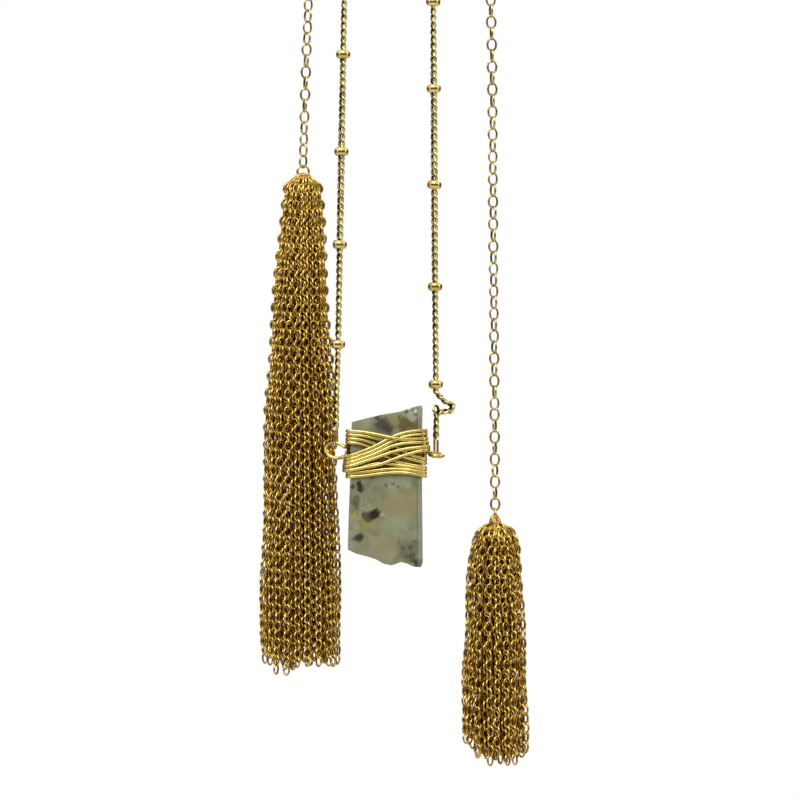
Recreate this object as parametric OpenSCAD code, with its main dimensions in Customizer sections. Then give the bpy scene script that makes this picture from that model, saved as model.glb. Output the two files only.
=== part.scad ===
// Tassel necklace: a satellite chain that carries a wire-wrapped stone slab, and a cable
// chain on the same clasp whose two free ends carry chain tassels of unequal length.
// Millimetres. +Z is up, -Y is the front, and the origin is where the necklace hangs,
// at the underside of its clasp.

/* [Cable chain] */
// Diameter of a cable link's wire
cable_wire = 0.35; // [0.3:0.01:0.4]
// Width of a cable link
cable_link_w = 2; // [1.8:0.05:2.3]
// Distance from one cable link's centre to the next
cable_pitch = 2.16; // [2:0.01:2.4]

/* [Satellite chain] */
// Diameter of the fine curb chain between its beads
curb_d = 1; // [0.8:0.05:1.1]
// Diameter of a satellite bead
bead_d = 2.8; // [2.5:0.1:3]
// Height of a satellite bead
bead_h = 1.7; // [1.4:0.1:2]
// Distance between beads where the photograph does not show them
bead_pitch = 18.6; // [15:0.1:22]

/* [Stone] */
// Width of the stone slab
stone_w = 14.5; // [13.5:0.1:14.6]
// Height of the stone slab
stone_h = 31.2; // [29:0.1:34]
// Thickness of the stone slab
stone_t = 7.4; // [6:0.1:9]

/* [Wire wrap] */
// Diameter of the wrapping wire
wrap_wire = 0.55; // [0.45:0.01:0.57]
// Height of the wrapped band
wrap_h = 9; // [8.8:0.1:10]
// Radius of the left hanging loop, at its wire's centre
loop_left_r = 2; // [1.8:0.05:2.2]
// Radius of the right hanging loop, at its wire's centre
loop_right_r = 1.35; // [1.3:0.05:1.6]

/* [Jump rings] */
// Wire diameter of the two oval rings that hold the stone
oval_wire = 0.45; // [0.35:0.01:0.5]
// Radius of an oval ring's ends, at its wire's centre
oval_r = 1.05; // [1:0.01:1.1]
// Outer length of an oval ring
oval_l = 4.4; // [4:0.1:4.8]
// Wire diameter of the two rings beside the clasp
clasp_ring_wire = 0.6; // [0.5:0.05:0.65]
// Radius of a ring beside the clasp, at its wire's centre
clasp_ring_r = 2; // [1.9:0.05:2.2]
// Wire diameter of the ring above each tassel
tassel_ring_wire = 0.45; // [0.35:0.01:0.5]
// Radius of the ring above each tassel, at its wire's centre
tassel_ring_r = 1.15; // [1.1:0.05:1.3]

/* [Clasp] */
// Distance between the two rings that the clasp joins
clasp_span = 11.7; // [11:0.1:13]
// Height of the clasp's claw
clasp_h = 6; // [5.5:0.1:7]
// Thickness of the clasp, front to back
clasp_t = 1.8; // [1.4:0.1:2]
// Width of the clasp's wall
clasp_wall = 1.1; // [0.9:0.05:1.2]

/* [Tassels] */
// Length of the left tassel
tassel_left_l = 95.8; // [80:0.1:110]
// Widest width of the left tassel
tassel_left_w = 16.2; // [13:0.1:16.4]
// Length of the right tassel
tassel_right_l = 47; // [35:0.1:60]
// Widest width of the right tassel
tassel_right_w = 13; // [10:0.1:15]
// Depth of a tassel as a share of its width
tassel_depth = 0.78; // [0.7:0.01:0.9]
// Number of outer locks on a tassel
tassel_locks = 16; // [12:1:20]

/* [Hidden] */
$fn = 20;
clear = 0.12;
bead_gap = 0.16;
stone_gap = 0.2;
layer_gap = 0.1;
end_gap = 0.3;
split_gap = 0.1;
bead_sides = 12;
// How far the two oval rings are turned off the plane across the stone, in degrees
oval_left_turn = -12;
oval_right_turn = 17;
cable_link_l = cable_pitch + 2 * cable_wire + clear;

// The slab's left edge and its top
stone_left = -7.98;
stone_top = -220.4;

// Where the two oval rings hold the pendant, beside the slab and down from its top: the
// swing axis runs through both points
hold_left_out = 2.22;
hold_left_down = 7.3;
hold_right_out = 2.53;
hold_right_down = 9.2;
hold_left = [stone_left - hold_left_out, 0, stone_top - hold_left_down];
hold_right = [stone_left + stone_w + hold_right_out, 0, stone_top - hold_right_down];
hinge_dir = (hold_right - hold_left) / norm(hold_right - hold_left);

// Where the two rings hang on the clasp, and how far beside their lowest point the
// cable chain sits behind it and the satellite chain in front of it
hang_left_x = -5.6;
hang_right_x = hang_left_x + clasp_span;
ring_side = 0.9;
ring_dip = sqrt(clasp_ring_r * clasp_ring_r - ring_side * ring_side);

// Clasp: an eye on the left and a closed claw on the right, both hung with a ring
eye_hole_r = 0.85;
eye_wall = 0.7;
eye_t = 1.2;
eye_z = eye_wall + eye_hole_r;
claw_neck_x = hang_left_x + eye_hole_r + eye_wall + clasp_wall * 0.7;
claw_r = clasp_h / 2;
claw_x = hang_right_x - clasp_h / 24;
claw_hole_r = claw_r - clasp_wall;
// Narrow left end of the claw's opening
claw_slot_x = claw_neck_x + clasp_wall * 2.6;
claw_slot_r = clasp_wall / 2;
// Top of the claw's lower wall, where the right ring hangs
claw_bar_top = claw_r - sqrt(pow(claw_hole_r, 2) - pow(hang_right_x - claw_x, 2));
ring_left_z = hung_z(eye_z - eye_hole_r, eye_t);
ring_right_z = hung_z(claw_bar_top, clasp_t);

// Routes chosen by hand from the photograph, from the clasp down
cable_left_route = [
  cable_start(hang_left_x, ring_left_z), [-6.6, 1.2, -15], [-9, 2, -40], [-11.6, 3.6, -75],
  [-14, 5.2, -110], [-15.6, 6.6, -142.5], [-16.7, 8, -175.5]
];
cable_right_route = [
  cable_start(hang_right_x, ring_right_z), [7.6, 1.3, -15], [10.8, 1.4, -40],
  [14.6, 1.5, -75], [17.6, 1.9, -110], [19.6, 2.3, -142.5], [20.1, 2.6, -190],
  [20.5, 3, -243]
];
satellite_left_route = [
  satellite_start(hang_left_x, ring_left_z), [-6, -0.8, -20], [-7.1, -0.5, -75],
  [-7.8, -0.2, -110], [-8.6, 0, -142], [-9.3, 0, -180], [-9.8, 0, -209], [-10.1, 0, -219],
  satellite_end(hold_left)
];
satellite_right_route = [
  satellite_start(hang_right_x, ring_right_z), [6.5, -0.8, -20], [7.5, -0.5, -75],
  [8.1, -0.2, -110], [8.5, 0, -142], [8.8, 0, -190], [9, 0, -214], [9, 0, -217.5],
  [9.8, 0, -218.7], [10.8, 0, -219.7], [11.8, 0, -220.2], [12.2, 0, -220.8],
  [11.7, 0, -221.4], [10.8, 0, -221.6], [9.8, 0, -221.8], [9.2, 0, -222.4],
  [9.1, 0, -223.6], satellite_end(hold_right)
];

// Gaps between the beads that the photograph shows, from the lowest bead up
bead_left_first = -208.7;
bead_left_gaps = [19.2, 17.9, 18.7];
bead_left_count = 11;
bead_right_first = -216.4;
bead_right_gaps = [18.8, 19.6, 18.5, 16.7];
bead_right_count = 12;

// Stone outline, clockwise from the upper left: x and z as shares of width and height,
// then how far the front and back faces step in there, as shares of the thickness
stone_outline = [
  [0.058, 0.896, 0.10, 0.16], [0.43, 0.94, 0.14, 0.10], [0.861, 0.988, 0.16, 0.14],
  [0.981, 1, 0.15, 0.10], [1, 0.95, 0.13, 0.08], [1, 0.032, 0.13, 0.12],
  [0.972, 0, 0.15, 0.10], [0.58, 0.012, 0.10, 0.14], [0.376, 0.05, 0.12, 0.10],
  [0.116, 0.086, 0.10, 0.15], [0, 0.112, 0.10, 0.12], [0.013, 0.291, 0.07, 0.10],
  [0.041, 0.551, 0.06, 0.12]
];
stone_bevel = 1.1;
stone_sheet = 0.1;

// Turns of the wrap: height at the left edge, at the right edge and the rise between
// them, as shares of the band's height, measured from the right hanging loop
under_turns = [
  [0.47, -0.02, 0], [0.385, -0.105, 0], [0.3, -0.19, 0], [0.215, -0.275, 0],
  [-0.352, -0.363, 0.055], [-0.428, -0.433, 0.055], [-0.502, -0.503, 0.04]
];
over_turns = [
  [-0.075, 0.48, 0], [-0.16, 0.395, 0], [-0.245, 0.31, 0], [-0.33, 0.215, 0],
  [-0.415, 0.107, 0]
];
wrap_zero = hold_right.z;
wrap_corner = 1;
// Share of each side of a turn that its corner takes up, and the points on a turn
wrap_bend = 1 / 3;
steps_per_turn = 24;
// Where on the front and back the wire starts to climb, and how evenly it climbs
climb_start = 0.15;
climb_even = 0.45;
// The wrap starts a little inside the stone's lower left corner, which is cut back
wrap_left_share = 0.03;
loop_left_lean = 44;

// Turn of the cable links about their chain: height, then angle
twist_left = [[0, 0], [-142, 10], [-160, -25], [-176, 20]];
twist_right = [[0, 0], [-142, 0], [-168, 10], [-190, 45], [-215, 40], [-243, 0]];

// Tassel half width down its length, as shares of the length and of the widest half width
tassel_left_shape = [
  [0.006, 0.26], [0.012, 0.36], [0.024, 0.44], [0.06, 0.485], [0.2, 0.626], [0.45, 0.856],
  [0.61, 0.885], [0.96, 1]
];
tassel_right_shape = [
  [0.02, 0.12], [0.05, 0.66], [0.12, 0.776], [0.34, 0.868], [0.64, 0.956], [0.86, 1],
  [0.96, 1]
];
// How short each lock ends, as a share of the tassel's length, from the right round the back
tassel_left_short = [0.016, 0.03, 0.01, 0.035, 0.012, 0.028, 0.02, 0.04, 0.042, 0.03,
  0.016, 0.005, 0, 0.012, 0.022, 0.018];
tassel_right_short = [0.054, 0.03, 0.05, 0.02, 0.04, 0.03, 0.06, 0.07, 0.1, 0.06, 0.042,
  0.02, 0.012, 0, 0.01, 0.03];
// A lock's diameter as a share of the tassel's width, and at most this many half widths
lock_d = 0.165;
lock_fit = 1.2;
disc_h = 0.2;
core_share = 0.62;
knot_share = 1.05;

// A route's running length at each of its points
function runs(p) = [
  for (
    i = 0, s = 0;
    i < len(p);
    s = s + (i + 1 < len(p) ? norm(p[i + 1] - p[i]) : 0), i = i + 1
  )
    s
];

function segment_at(run, s, i = 0) =
  i >= len(run) - 2 || s < run[i + 1] ? i : segment_at(run, s, i + 1);

function point_at(p, run, s) =
  let (i = segment_at(run, s))
  p[i] + (p[i + 1] - p[i]) * (s - run[i]) / (run[i + 1] - run[i]);

// Centre of the first cable link, whose upper bend lies on the wire of the clasp's ring
function cable_start(x, z) = [
  x, ring_side, z - ring_dip + clasp_ring_wire / 2 + 2 * clear + cable_wire - cable_link_l / 2
];

// Upper end of the satellite chain's tube, just under the wire of the clasp's ring
function satellite_start(x, z) = [x, -ring_side, z - clasp_ring_r - clasp_ring_wire / 2 - clear];

// Lower end of the satellite chain's tube, just above the oval ring at a hold point
function satellite_end(hold) = [
  hold.x, hold.y, hold.z + oval_l - oval_wire - wrap_wire / 2 - clear + end_gap
];

// Smooth curve through the chosen points
function spline_point(a, b, c, d, t) =
  let (
    linear = (c - a) * t,
    square = (2 * a - 5 * b + 4 * c - d) * t * t,
    cube = (3 * b - a - 3 * c + d) * t * t * t
  )
  b + (linear + square + cube) / 2;

function smooth(p, n) = [
  for (i = [0 : len(p) - 2], k = [0 : n - 1])
    spline_point(p[max(i - 1, 0)], p[i], p[i + 1], p[min(i + 2, len(p) - 1)], k / n),
  p[len(p) - 1]
];

function unit(v) = v / norm(v);

// Value on the straight line through two rows of a table
function between(a, b, x) = a[1] + (b[1] - a[1]) * (x - a[0]) / (b[0] - a[0]);

// Value at a height in a table of height and value, heights going down
function table_at(table, z, i = 0) =
  i >= len(table) - 2 || z > table[i + 1][0]
    ? between(table[i], table[i + 1], z)
    : table_at(table, z, i + 1);

// Value at a share in a table of share and value, shares going up
function share_at(table, s, i = 0) =
  i >= len(table) - 2 || s < table[i + 1][0]
    ? between(table[i], table[i + 1], s)
    : share_at(table, s, i + 1);

function tangent(p, i) = unit(p[min(i + 1, len(p) - 1)] - p[max(i - 1, 0)]);

// Round wire swept along a path, closed at both ends, its sections set out from side_ref
function wire_points(p, d, sides, side_ref) = [
  for (i = [0 : len(p) - 1])
    let (t = tangent(p, i), f = unit(side_ref - t * (t * side_ref)), s = cross(f, t))
    for (k = [0 : sides - 1])
      p[i] + d / 2 * (cos(360 * k / sides) * s + sin(360 * k / sides) * f)
];

function wire_faces(rings, sides, start) = concat(
  [for (k = [1 : sides - 2]) [start, start + k, start + k + 1]],
  [
    for (i = [0 : rings - 2], k = [0 : sides - 1])
      let (a = start + i * sides, n = (k + 1) % sides)
      for (tri = [[a + k, a + sides + k, a + n], [a + n, a + sides + k, a + sides + n]])
        tri
  ],
  [
    for (k = [1 : sides - 2])
      let (a = start + (rings - 1) * sides)
      [a, a + k + 1, a + k]
  ]
);

module wire(p, d, sides = 8, side_ref = [0, 1, 0]) {
  polyhedron(points = wire_points(p, d, sides, side_ref), faces = wire_faces(len(p), sides, 0));
}

// Sets its child on a route with the child's Z along the route, turned by twist
module along(at, dir, twist) {
  f = unit([0, 1, 0] - dir * dir.y);
  s = cross(f, dir);
  multmatrix([
    [s.x, f.x, dir.x, at.x],
    [s.y, f.y, dir.y, at.y],
    [s.z, f.z, dir.z, at.z]
  ])
    rotate([0, 0, twist])
      children();
}

// Ring in the XZ plane
module round_ring(r, d) {
  rotate([90, 0, 0])
    rotate_extrude(convexity = 2)
      translate([r, 0])
        circle(d = d);
}

// Long link in the XZ plane, its length along Z
module oval_link(length, width, d) {
  r = (width - d) / 2;
  half = (length - width) / 2;
  for (turn = [0, 180])
    rotate([0, turn, 0])
      translate([0, 0, half])
        rotate([90, 0, 0])
          rotate_extrude(angle = 180)
            translate([r, 0])
              circle(d = d);
  for (side = [-1, 1])
    translate([side * r, 0, -half])
      cylinder(d = d, h = 2 * half);
}

cable_left_path = smooth(cable_left_route, 5);
cable_left_run = runs(cable_left_path);
cable_left_links = floor(cable_left_run[len(cable_left_run) - 1] / cable_pitch);
cable_left_half = floor(cable_left_links / 2);
cable_right_path = smooth(cable_right_route, 5);
cable_right_run = runs(cable_right_path);
cable_right_links = floor(cable_right_run[len(cable_right_run) - 1] / cable_pitch);
cable_right_half = floor(cable_right_links / 2);

// Cable links from first to last along a path, each a quarter turn from its neighbour
module cable(path, run, twist_table, first, last) {
  for (k = [first : last]) {
    at = point_at(path, run, k * cable_pitch);
    ahead = point_at(path, run, k * cable_pitch + 1);
    along(at, unit(at - ahead), table_at(twist_table, at.z) + 90 * (k % 2))
      oval_link(cable_link_l, cable_link_w, cable_wire);
  }
}

// Centre of the ring below the last cable link, and of the tassel's knot on that ring
ring_step = cable_link_l / 2 - cable_wire + tassel_ring_r - tassel_ring_wire / 2 - clear;
function ring_below(path, run, links) =
  let (at = point_at(path, run, (links - 1) * cable_pitch))
  [at.x, at.y, at.z - ring_step];
tassel_left_at = ring_below(cable_left_path, cable_left_run, cable_left_links);
tassel_right_at = ring_below(cable_right_path, cable_right_run, cable_right_links);
ring_turn_left = 90 * (cable_left_links % 2) + table_at(twist_left, tassel_left_at.z);
ring_turn_right = 90 * (cable_right_links % 2) + table_at(twist_right, tassel_right_at.z);

module bead_at(path, run, z) {
  at = point_at(path, run, run_at_height(path, run, z));
  translate(at)
    rotate_extrude(convexity = 2, $fn = bead_sides)
      difference() {
        translate([(bead_d - bead_h) / 2, 0])
          circle(d = bead_h);
        translate([-bead_d, -bead_d])
          square([bead_d + curb_d / 2 + bead_gap, 2 * bead_d]);
      }
}

// Running length where a path first comes down to a height
function run_at_height(path, run, z, i = 0) =
  i >= len(path) - 2 || path[i + 1].z <= z
    ? run[i] + (run[i + 1] - run[i]) * (z - path[i].z) / (path[i + 1].z - path[i].z)
    : run_at_height(path, run, z, i + 1);

function at_height(path, z) =
  let (run = runs(path))
  point_at(path, run, run_at_height(path, run, z));

// Heights of the beads from the lowest up
function bead_heights(first, gaps, count) = [
  for (i = 0, z = first; i < count; z = z + (i < len(gaps) ? gaps[i] : bead_pitch), i = i + 1) z
];

module clasp() {
  eye_r = eye_hole_r + eye_wall;
  color("goldenrod")
    translate([0, clasp_t / 2, 0])
      rotate([90, 0, 0]) {
        linear_extrude(clasp_t)
          difference() {
            hull() {
              translate([claw_x, claw_r])
                circle(claw_r, $fn = 48);
              translate([claw_neck_x, eye_z])
                circle(clasp_wall, $fn = 24);
            }
            hull() {
              translate([claw_x, claw_r])
                circle(claw_hole_r, $fn = 48);
              translate([claw_slot_x, eye_z])
                circle(claw_slot_r, $fn = 24);
            }
          }
        translate([0, 0, (clasp_t - eye_t) / 2])
          linear_extrude(eye_t)
            difference() {
              union() {
                translate([hang_left_x, eye_z])
                  circle(eye_r, $fn = 32);
                translate([hang_left_x + eye_hole_r, eye_z - clasp_wall / 2])
                  square([claw_neck_x - hang_left_x - eye_hole_r, clasp_wall]);
              }
              translate([hang_left_x, eye_z])
                circle(eye_hole_r, $fn = 32);
            }
      }
}

// A ring hung in the YZ plane on a bar of the given top height and thickness
function hung_z(bar_top, bar_t) =
  let (inner = clasp_ring_r - clasp_ring_wire / 2)
  bar_top - sqrt(inner * inner - bar_t * bar_t / 4) + clear;

module clasp_ring(x, z) {
  color("goldenrod")
    translate([x, 0, z])
      rotate([0, 0, 90])
        round_ring(clasp_ring_r, clasp_ring_wire);
}

// An oval ring in the YZ plane, turned a little, whose lower bend holds a wire at the point
module stone_ring(hold, turn) {
  half = oval_l / 2 - oval_wire;
  color("goldenrod")
    translate(hold + [0, 0, half - wrap_wire / 2 - clear])
      rotate([0, 0, 90 + turn])
        oval_link(oval_l, 2 * oval_r + oval_wire, oval_wire);
}

module stone() {
  color("darkkhaki")
    translate([stone_left, 0, stone_top - stone_h])
      hull() {
        stone_slice(-stone_t / 2, 2);
        stone_slice(-stone_t / 2 + stone_bevel, -1);
        stone_slice(stone_t / 2 - stone_bevel, -1);
        stone_slice(stone_t / 2 - stone_sheet, 3);
      }
}

// The outline at a depth, stepped in towards the stone's middle by a column of the table
module stone_slice(y, column) {
  translate([0, y + stone_sheet, 0])
    rotate([90, 0, 0])
      linear_extrude(stone_sheet)
        polygon([
          for (row = stone_outline)
            let (
              at = [row[0] * stone_w, row[1] * stone_h],
              step = column < 0 ? 0 : row[column] * stone_t,
              inward = unit([stone_w / 2, stone_h / 2] - at),
              square_in = [sign(inward.x), sign(inward.y) * min(1, abs(inward.y))]
            )
            at + step * square_in
        ]);
}

// Half sizes of the wrapped section at the stone, to the wire's centre
wrap_off = stone_gap + wrap_wire / 2;
wrap_left_x = stone_left + wrap_left_share * stone_w - wrap_off;
wrap_right_x = stone_left + stone_w + wrap_off;
wrap_y = stone_t / 2 + wrap_off;
layer_step = wrap_wire + layer_gap;

// Point on the rounded section for an angle, on a layer: the front is at y below zero
function wrap_xy(u, layer) =
  let (
    grow = layer * layer_step,
    cx = (wrap_left_x + wrap_right_x) / 2,
    hx = (wrap_right_x - wrap_left_x) / 2 - wrap_corner,
    hy = wrap_y - wrap_corner,
    c = wrap_corner + grow,
    q = floor(u * 4) % 4,
    v = u * 4 - floor(u * 4),
    phase = min(1, v / wrap_bend),
    run = max(0, (v - wrap_bend) / (1 - wrap_bend)),
    ang = 180 + 90 * q + 90 * phase,
    corner = [[-hx, -hy], [hx, -hy], [hx, hy], [-hx, hy]][q],
    next = [[hx, -hy], [hx, hy], [-hx, hy], [-hx, -hy]][q]
  )
  [cx, 0] + corner + (next - corner) * run + c * [cos(ang), sin(ang)];

function ease(t) = climb_even * t + (1 - climb_even) * t * t * (3 - 2 * t);

// Height on a turn: across the front, down the right side, across the back, down the left
function wrap_z(row, next_left, u) =
  let (
    front = min(1, max(0, u * 4 - climb_start)),
    back = min(1, max(0, u * 4 - 2 - climb_start)),
    on_front = row[0] + (row[1] - row[0]) * ease(front) + row[2] * sin(180 * front),
    on_back = row[1] + (next_left - row[1]) * ease(back)
  )
  wrap_zero + wrap_h * (u * 4 < 2 ? on_front : on_back);

function wrap_path(table, layer, from = 0, to = 1) = [
  for (i = [0 : len(table) - 1])
    let (next_left = i + 1 < len(table) ? table[i + 1][0] : table[i][0])
    for (
      k = [(i == 0 ? from * steps_per_turn : 0) :
        (i == len(table) - 1 ? to * steps_per_turn : steps_per_turn - 1)]
    )
      let (u = k / steps_per_turn, xy = wrap_xy(u % 1, layer))
      [xy.x, xy.y, wrap_z(table[i], next_left, u)]
];

// Hanging loops, each a bent part of the same wire that passes through its hold point
loop_left_down = [0, -sin(loop_left_lean), -cos(loop_left_lean)];
loop_left_centre = hold_left + loop_left_r * loop_left_down;
loop_left_path = [
  for (a = [-30 : -20 : -310])
    loop_left_centre + loop_left_r * (cos(a) * hinge_dir + sin(a) * loop_left_down)
];
loop_right_out = [0, -1, 0];
loop_right_centre = hold_right + loop_right_r * loop_right_out;
loop_right_path = [
  for (a = [150 : -20 : -130])
    loop_right_centre + loop_right_r * (cos(a) * hinge_dir + sin(a) * loop_right_out)
];

module wire_wrap() {
  color("khaki") {
    wire(wrap_path(under_turns, 0, 0, 0.7), wrap_wire, side_ref = [0, 0, 1]);
    wire(
      concat(loop_left_path, wrap_path(over_turns, 1, 0.05, 0.3), loop_right_path),
      wrap_wire, side_ref = [0, 0, 1]
    );
  }
}

// Tassel: a knot that the ring passes through, outer locks of unequal length and a core
module tassel(at, turn, size, shape, short) {
  length = size[0];
  width = size[1];
  knot_r = tassel_ring_r * knot_share;
  top = [at.x, at.y, at.z - tassel_ring_r];
  color("goldenrod")
    difference() {
      union() {
        translate(top)
          sphere(knot_r, $fn = 12);
        for (i = [0 : tassel_locks - 1]) {
          a = 360 * (i + 0.5) / tassel_locks;
          ends = 1 - short[i % len(short)];
          for (k = [0 : len(shape) - 1]) {
            s0 = k == 0 ? 0 : shape[k - 1][0];
            s1 = k == len(shape) - 1 ? ends : shape[k][0];
            hull() {
              lock_disc(top, length, width, shape, s0, a);
              lock_disc(top, length, width, shape, s1, a);
            }
          }
        }
        for (k = [0 : len(shape) - 2])
          hull() {
            core_disc(top, length, width, shape, shape[k][0]);
            core_disc(top, length, width, shape, shape[k + 1][0]);
          }
      }
      translate(at)
        rotate([0, 0, turn])
          round_ring(tassel_ring_r, tassel_ring_wire + 2 * clear, $fn = 24);
    }
}

module lock_disc(top, length, width, shape, s, a) {
  half = width / 2 * (s < shape[0][0] ? shape[0][1] : share_at(shape, s));
  d = min(lock_d * width, lock_fit * half);
  translate([
    top.x + (half - d / 2) * cos(a),
    top.y + tassel_depth * (half - d / 2) * sin(a),
    top.z - length * s
  ])
    cylinder(d = d, h = disc_h, $fn = 8);
}

module core_disc(top, length, width, shape, s) {
  half = width / 2 * share_at(shape, s);
  translate([top.x, top.y, top.z - length * s])
    scale([1, tassel_depth, 1])
      cylinder(r = half * core_share, h = disc_h, $fn = 16);
}

module cable_left(first, last) {
  color("goldenrod")
    cable(cable_left_path, cable_left_run, twist_left, first, last);
}

module cable_right(first, last) {
  color("goldenrod")
    cable(cable_right_path, cable_right_run, twist_right, first, last);
}

module satellite_left_chain() {
  color("gold")
    wire(satellite_left_route, curb_d);
}

// The right chain is in two pieces that meet inside its lowest bead: above it, straight,
// and below it, with the kink
module satellite_right_chain() {
  color("gold")
    wire(
      [
        for (at = satellite_right_route)
          if (at.z > bead_right_first)
            at,
        at_height(satellite_right_route, bead_right_first + split_gap / 2)
      ],
      curb_d
    );
}

module satellite_right_kink() {
  color("gold")
    wire(
      [
        at_height(satellite_right_route, bead_right_first - split_gap / 2),
        for (at = satellite_right_route)
          if (at.z < bead_right_first)
            at
      ],
      curb_d
    );
}

module satellite_left_beads() {
  color("gold")
    for (z = bead_heights(bead_left_first, bead_left_gaps, bead_left_count))
      bead_at(satellite_left_route, runs(satellite_left_route), z);
}

module satellite_right_beads() {
  color("gold")
    for (z = bead_heights(bead_right_first, bead_right_gaps, bead_right_count))
      bead_at(satellite_right_route, runs(satellite_right_route), z);
}

module tassel_ring(at, turn) {
  color("goldenrod")
    translate(at)
      rotate([0, 0, turn])
        round_ring(tassel_ring_r, tassel_ring_wire);
}

clasp();
clasp_ring(hang_left_x, ring_left_z);  // clasp_ring_left
clasp_ring(hang_right_x, ring_right_z);  // clasp_ring_right
cable_left(0, cable_left_half - 1);  // cable_left_upper
cable_left(cable_left_half, cable_left_links - 1);  // cable_left_lower
cable_right(0, cable_right_half - 1);  // cable_right_upper
cable_right(cable_right_half, cable_right_links - 1);  // cable_right_lower
satellite_left_chain();
satellite_left_beads();
satellite_right_chain();
satellite_right_kink();
satellite_right_beads();
stone_ring(hold_left, oval_left_turn);  // stone_ring_left
stone_ring(hold_right, oval_right_turn);  // stone_ring_right
stone();
wire_wrap();
tassel_ring(tassel_left_at, ring_turn_left);  // tassel_left_ring
tassel_ring(tassel_right_at, ring_turn_right);  // tassel_right_ring
tassel(  // tassel_left
    tassel_left_at, ring_turn_left, [tassel_left_l, tassel_left_w], tassel_left_shape,
    tassel_left_short
  );
tassel(  // tassel_right
    tassel_right_at, ring_turn_right, [tassel_right_l, tassel_right_w], tassel_right_shape,
    tassel_right_short
  );
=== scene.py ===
# %% [markdown]
# # A necklace with two chain tassels
#
# This lesson dresses a long necklace. A fine curb chain with small beads carries a slab
# of green stone that is wrapped in wire, and a plainer cable chain ends in two tassels of
# different lengths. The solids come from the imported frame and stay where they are. We
# keep those whose shape is already right, give them a plated finish, and model finer
# pieces over the rest: the real links of each chain, the round wire of the wrap and the
# worn edges of the stone.

# %% Load the frame
import math
import random

import bmesh
import bpy
from mathutils import Matrix, Quaternion, Vector


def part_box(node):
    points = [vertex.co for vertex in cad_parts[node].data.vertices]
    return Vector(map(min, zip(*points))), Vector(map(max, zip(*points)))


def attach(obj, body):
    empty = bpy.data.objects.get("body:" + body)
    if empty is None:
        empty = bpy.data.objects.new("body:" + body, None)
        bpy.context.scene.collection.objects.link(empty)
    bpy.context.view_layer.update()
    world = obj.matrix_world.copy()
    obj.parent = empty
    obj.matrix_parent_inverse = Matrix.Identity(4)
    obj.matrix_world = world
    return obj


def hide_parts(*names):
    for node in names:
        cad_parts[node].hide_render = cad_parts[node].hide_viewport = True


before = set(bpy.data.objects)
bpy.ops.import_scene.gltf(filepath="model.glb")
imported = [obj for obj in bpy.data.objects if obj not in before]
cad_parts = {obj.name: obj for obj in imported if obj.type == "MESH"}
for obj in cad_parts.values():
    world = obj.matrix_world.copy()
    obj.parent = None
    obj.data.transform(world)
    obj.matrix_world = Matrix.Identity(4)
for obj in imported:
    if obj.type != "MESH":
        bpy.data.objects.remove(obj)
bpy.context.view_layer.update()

MM = 0.001
dice = random.Random(7)

# %% [markdown]
# ## Camera
#
# The necklace is shown straight on and cut off by the upper edge of the picture, so the
# camera stands level in front of its lower half. A long lens far away keeps the strands
# parallel. One millimetre is 5.2 pixels, which makes the picture 154 mm wide.

# %% Camera
PIXELS_PER_MM = 5.2
PICTURE_WIDE = 800 / PIXELS_PER_MM * MM
PICTURE_MIDDLE = (2.12, -219.42)  # x and z in millimetres
camera_data = bpy.data.cameras.new("front camera")
camera_data.lens = 300
camera_data.sensor_width = 36
camera_data.clip_start, camera_data.clip_end = 0.01, 50
camera = bpy.data.objects.new("front camera", camera_data)
bpy.context.collection.objects.link(camera)
camera_distance = PICTURE_WIDE * camera_data.lens / camera_data.sensor_width
camera.location = (PICTURE_MIDDLE[0] * MM, -camera_distance, PICTURE_MIDDLE[1] * MM)
camera.rotation_euler = (math.pi / 2, 0, 0)
bpy.context.scene.camera = camera
print(f"camera {camera_distance:.3f} m in front")


# %% [markdown]
# ## Small helpers
#
# An operator works on everything that is selected, and the frame arrives selected, so each
# step first clears the selection. A finished piece keeps its object at the origin, unturned
# and unscaled, with its place in its mesh. It then gets its finish, rides on its body, and
# the solids that it stands for are hidden.

# %% Helpers for selecting and finishing
def clear_selection():
    if bpy.context.object and bpy.context.object.mode != "OBJECT":
        bpy.ops.object.mode_set(mode="OBJECT")
    bpy.ops.object.select_all(action="DESELECT")


def pick(thing):
    clear_selection()
    thing.select_set(True)
    bpy.context.view_layer.objects.active = thing


def place_into_mesh(thing):
    pick(thing)
    bpy.ops.object.transform_apply(location=True, rotation=True, scale=True)


def apply_modifiers(thing):
    pick(thing)
    for modifier in list(thing.modifiers):
        bpy.ops.object.modifier_apply(modifier=modifier.name)


def finish_piece(piece, body, slot, material, *nodes):
    piece.data.materials.clear()
    piece.data.materials.append(material)
    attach(piece, body)
    if nodes:
        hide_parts(*nodes)
    triangles = sum(len(face.vertices) - 2 for face in piece.data.polygons)
    print(f"{piece.name}: {triangles} triangles")


# %% [markdown]
# ## Gold plate
#
# The metal is brass with a thin antique gold plate. It is bright where fingers rub it and
# brown in the hollows, where the finish was left on and where shade falls, so that brown is
# partly patina and partly painted shade. One node group makes the uneven colour, the
# roughness and the fine dents, and each gold finish uses it with its own colours. The
# hollows come from an attribute that each link carries, called patina_and_shade, and a
# second one, called tone_and_shade, makes some links a little darker than others by chance
# and paints shade on the inner chains of the tassels.

# %% Helpers for nodes
def node(tree, kind, place, values=None, **settings):
    """Adds a node; values go to its inputs by name or number, settings to the node itself."""
    made = tree.nodes.new(kind)
    made.location = place
    for name, value in settings.items():
        setattr(made, name, value)
    for name, value in (values or {}).items():
        made.inputs[name].default_value = value
    return made


def join(tree, *pairs):
    for output, goal in pairs:
        tree.links.new(output, goal)


def named_group(name, kind, inputs, outputs):
    """A node group whose sockets are given as {name: type}."""
    group = bpy.data.node_groups.new(name, kind)
    for way, sockets in (("INPUT", inputs), ("OUTPUT", outputs)):
        for label, data in sockets.items():
            group.interface.new_socket(
                name=label, in_out=way, socket_type="NodeSocket" + data
            )
    return group


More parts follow.
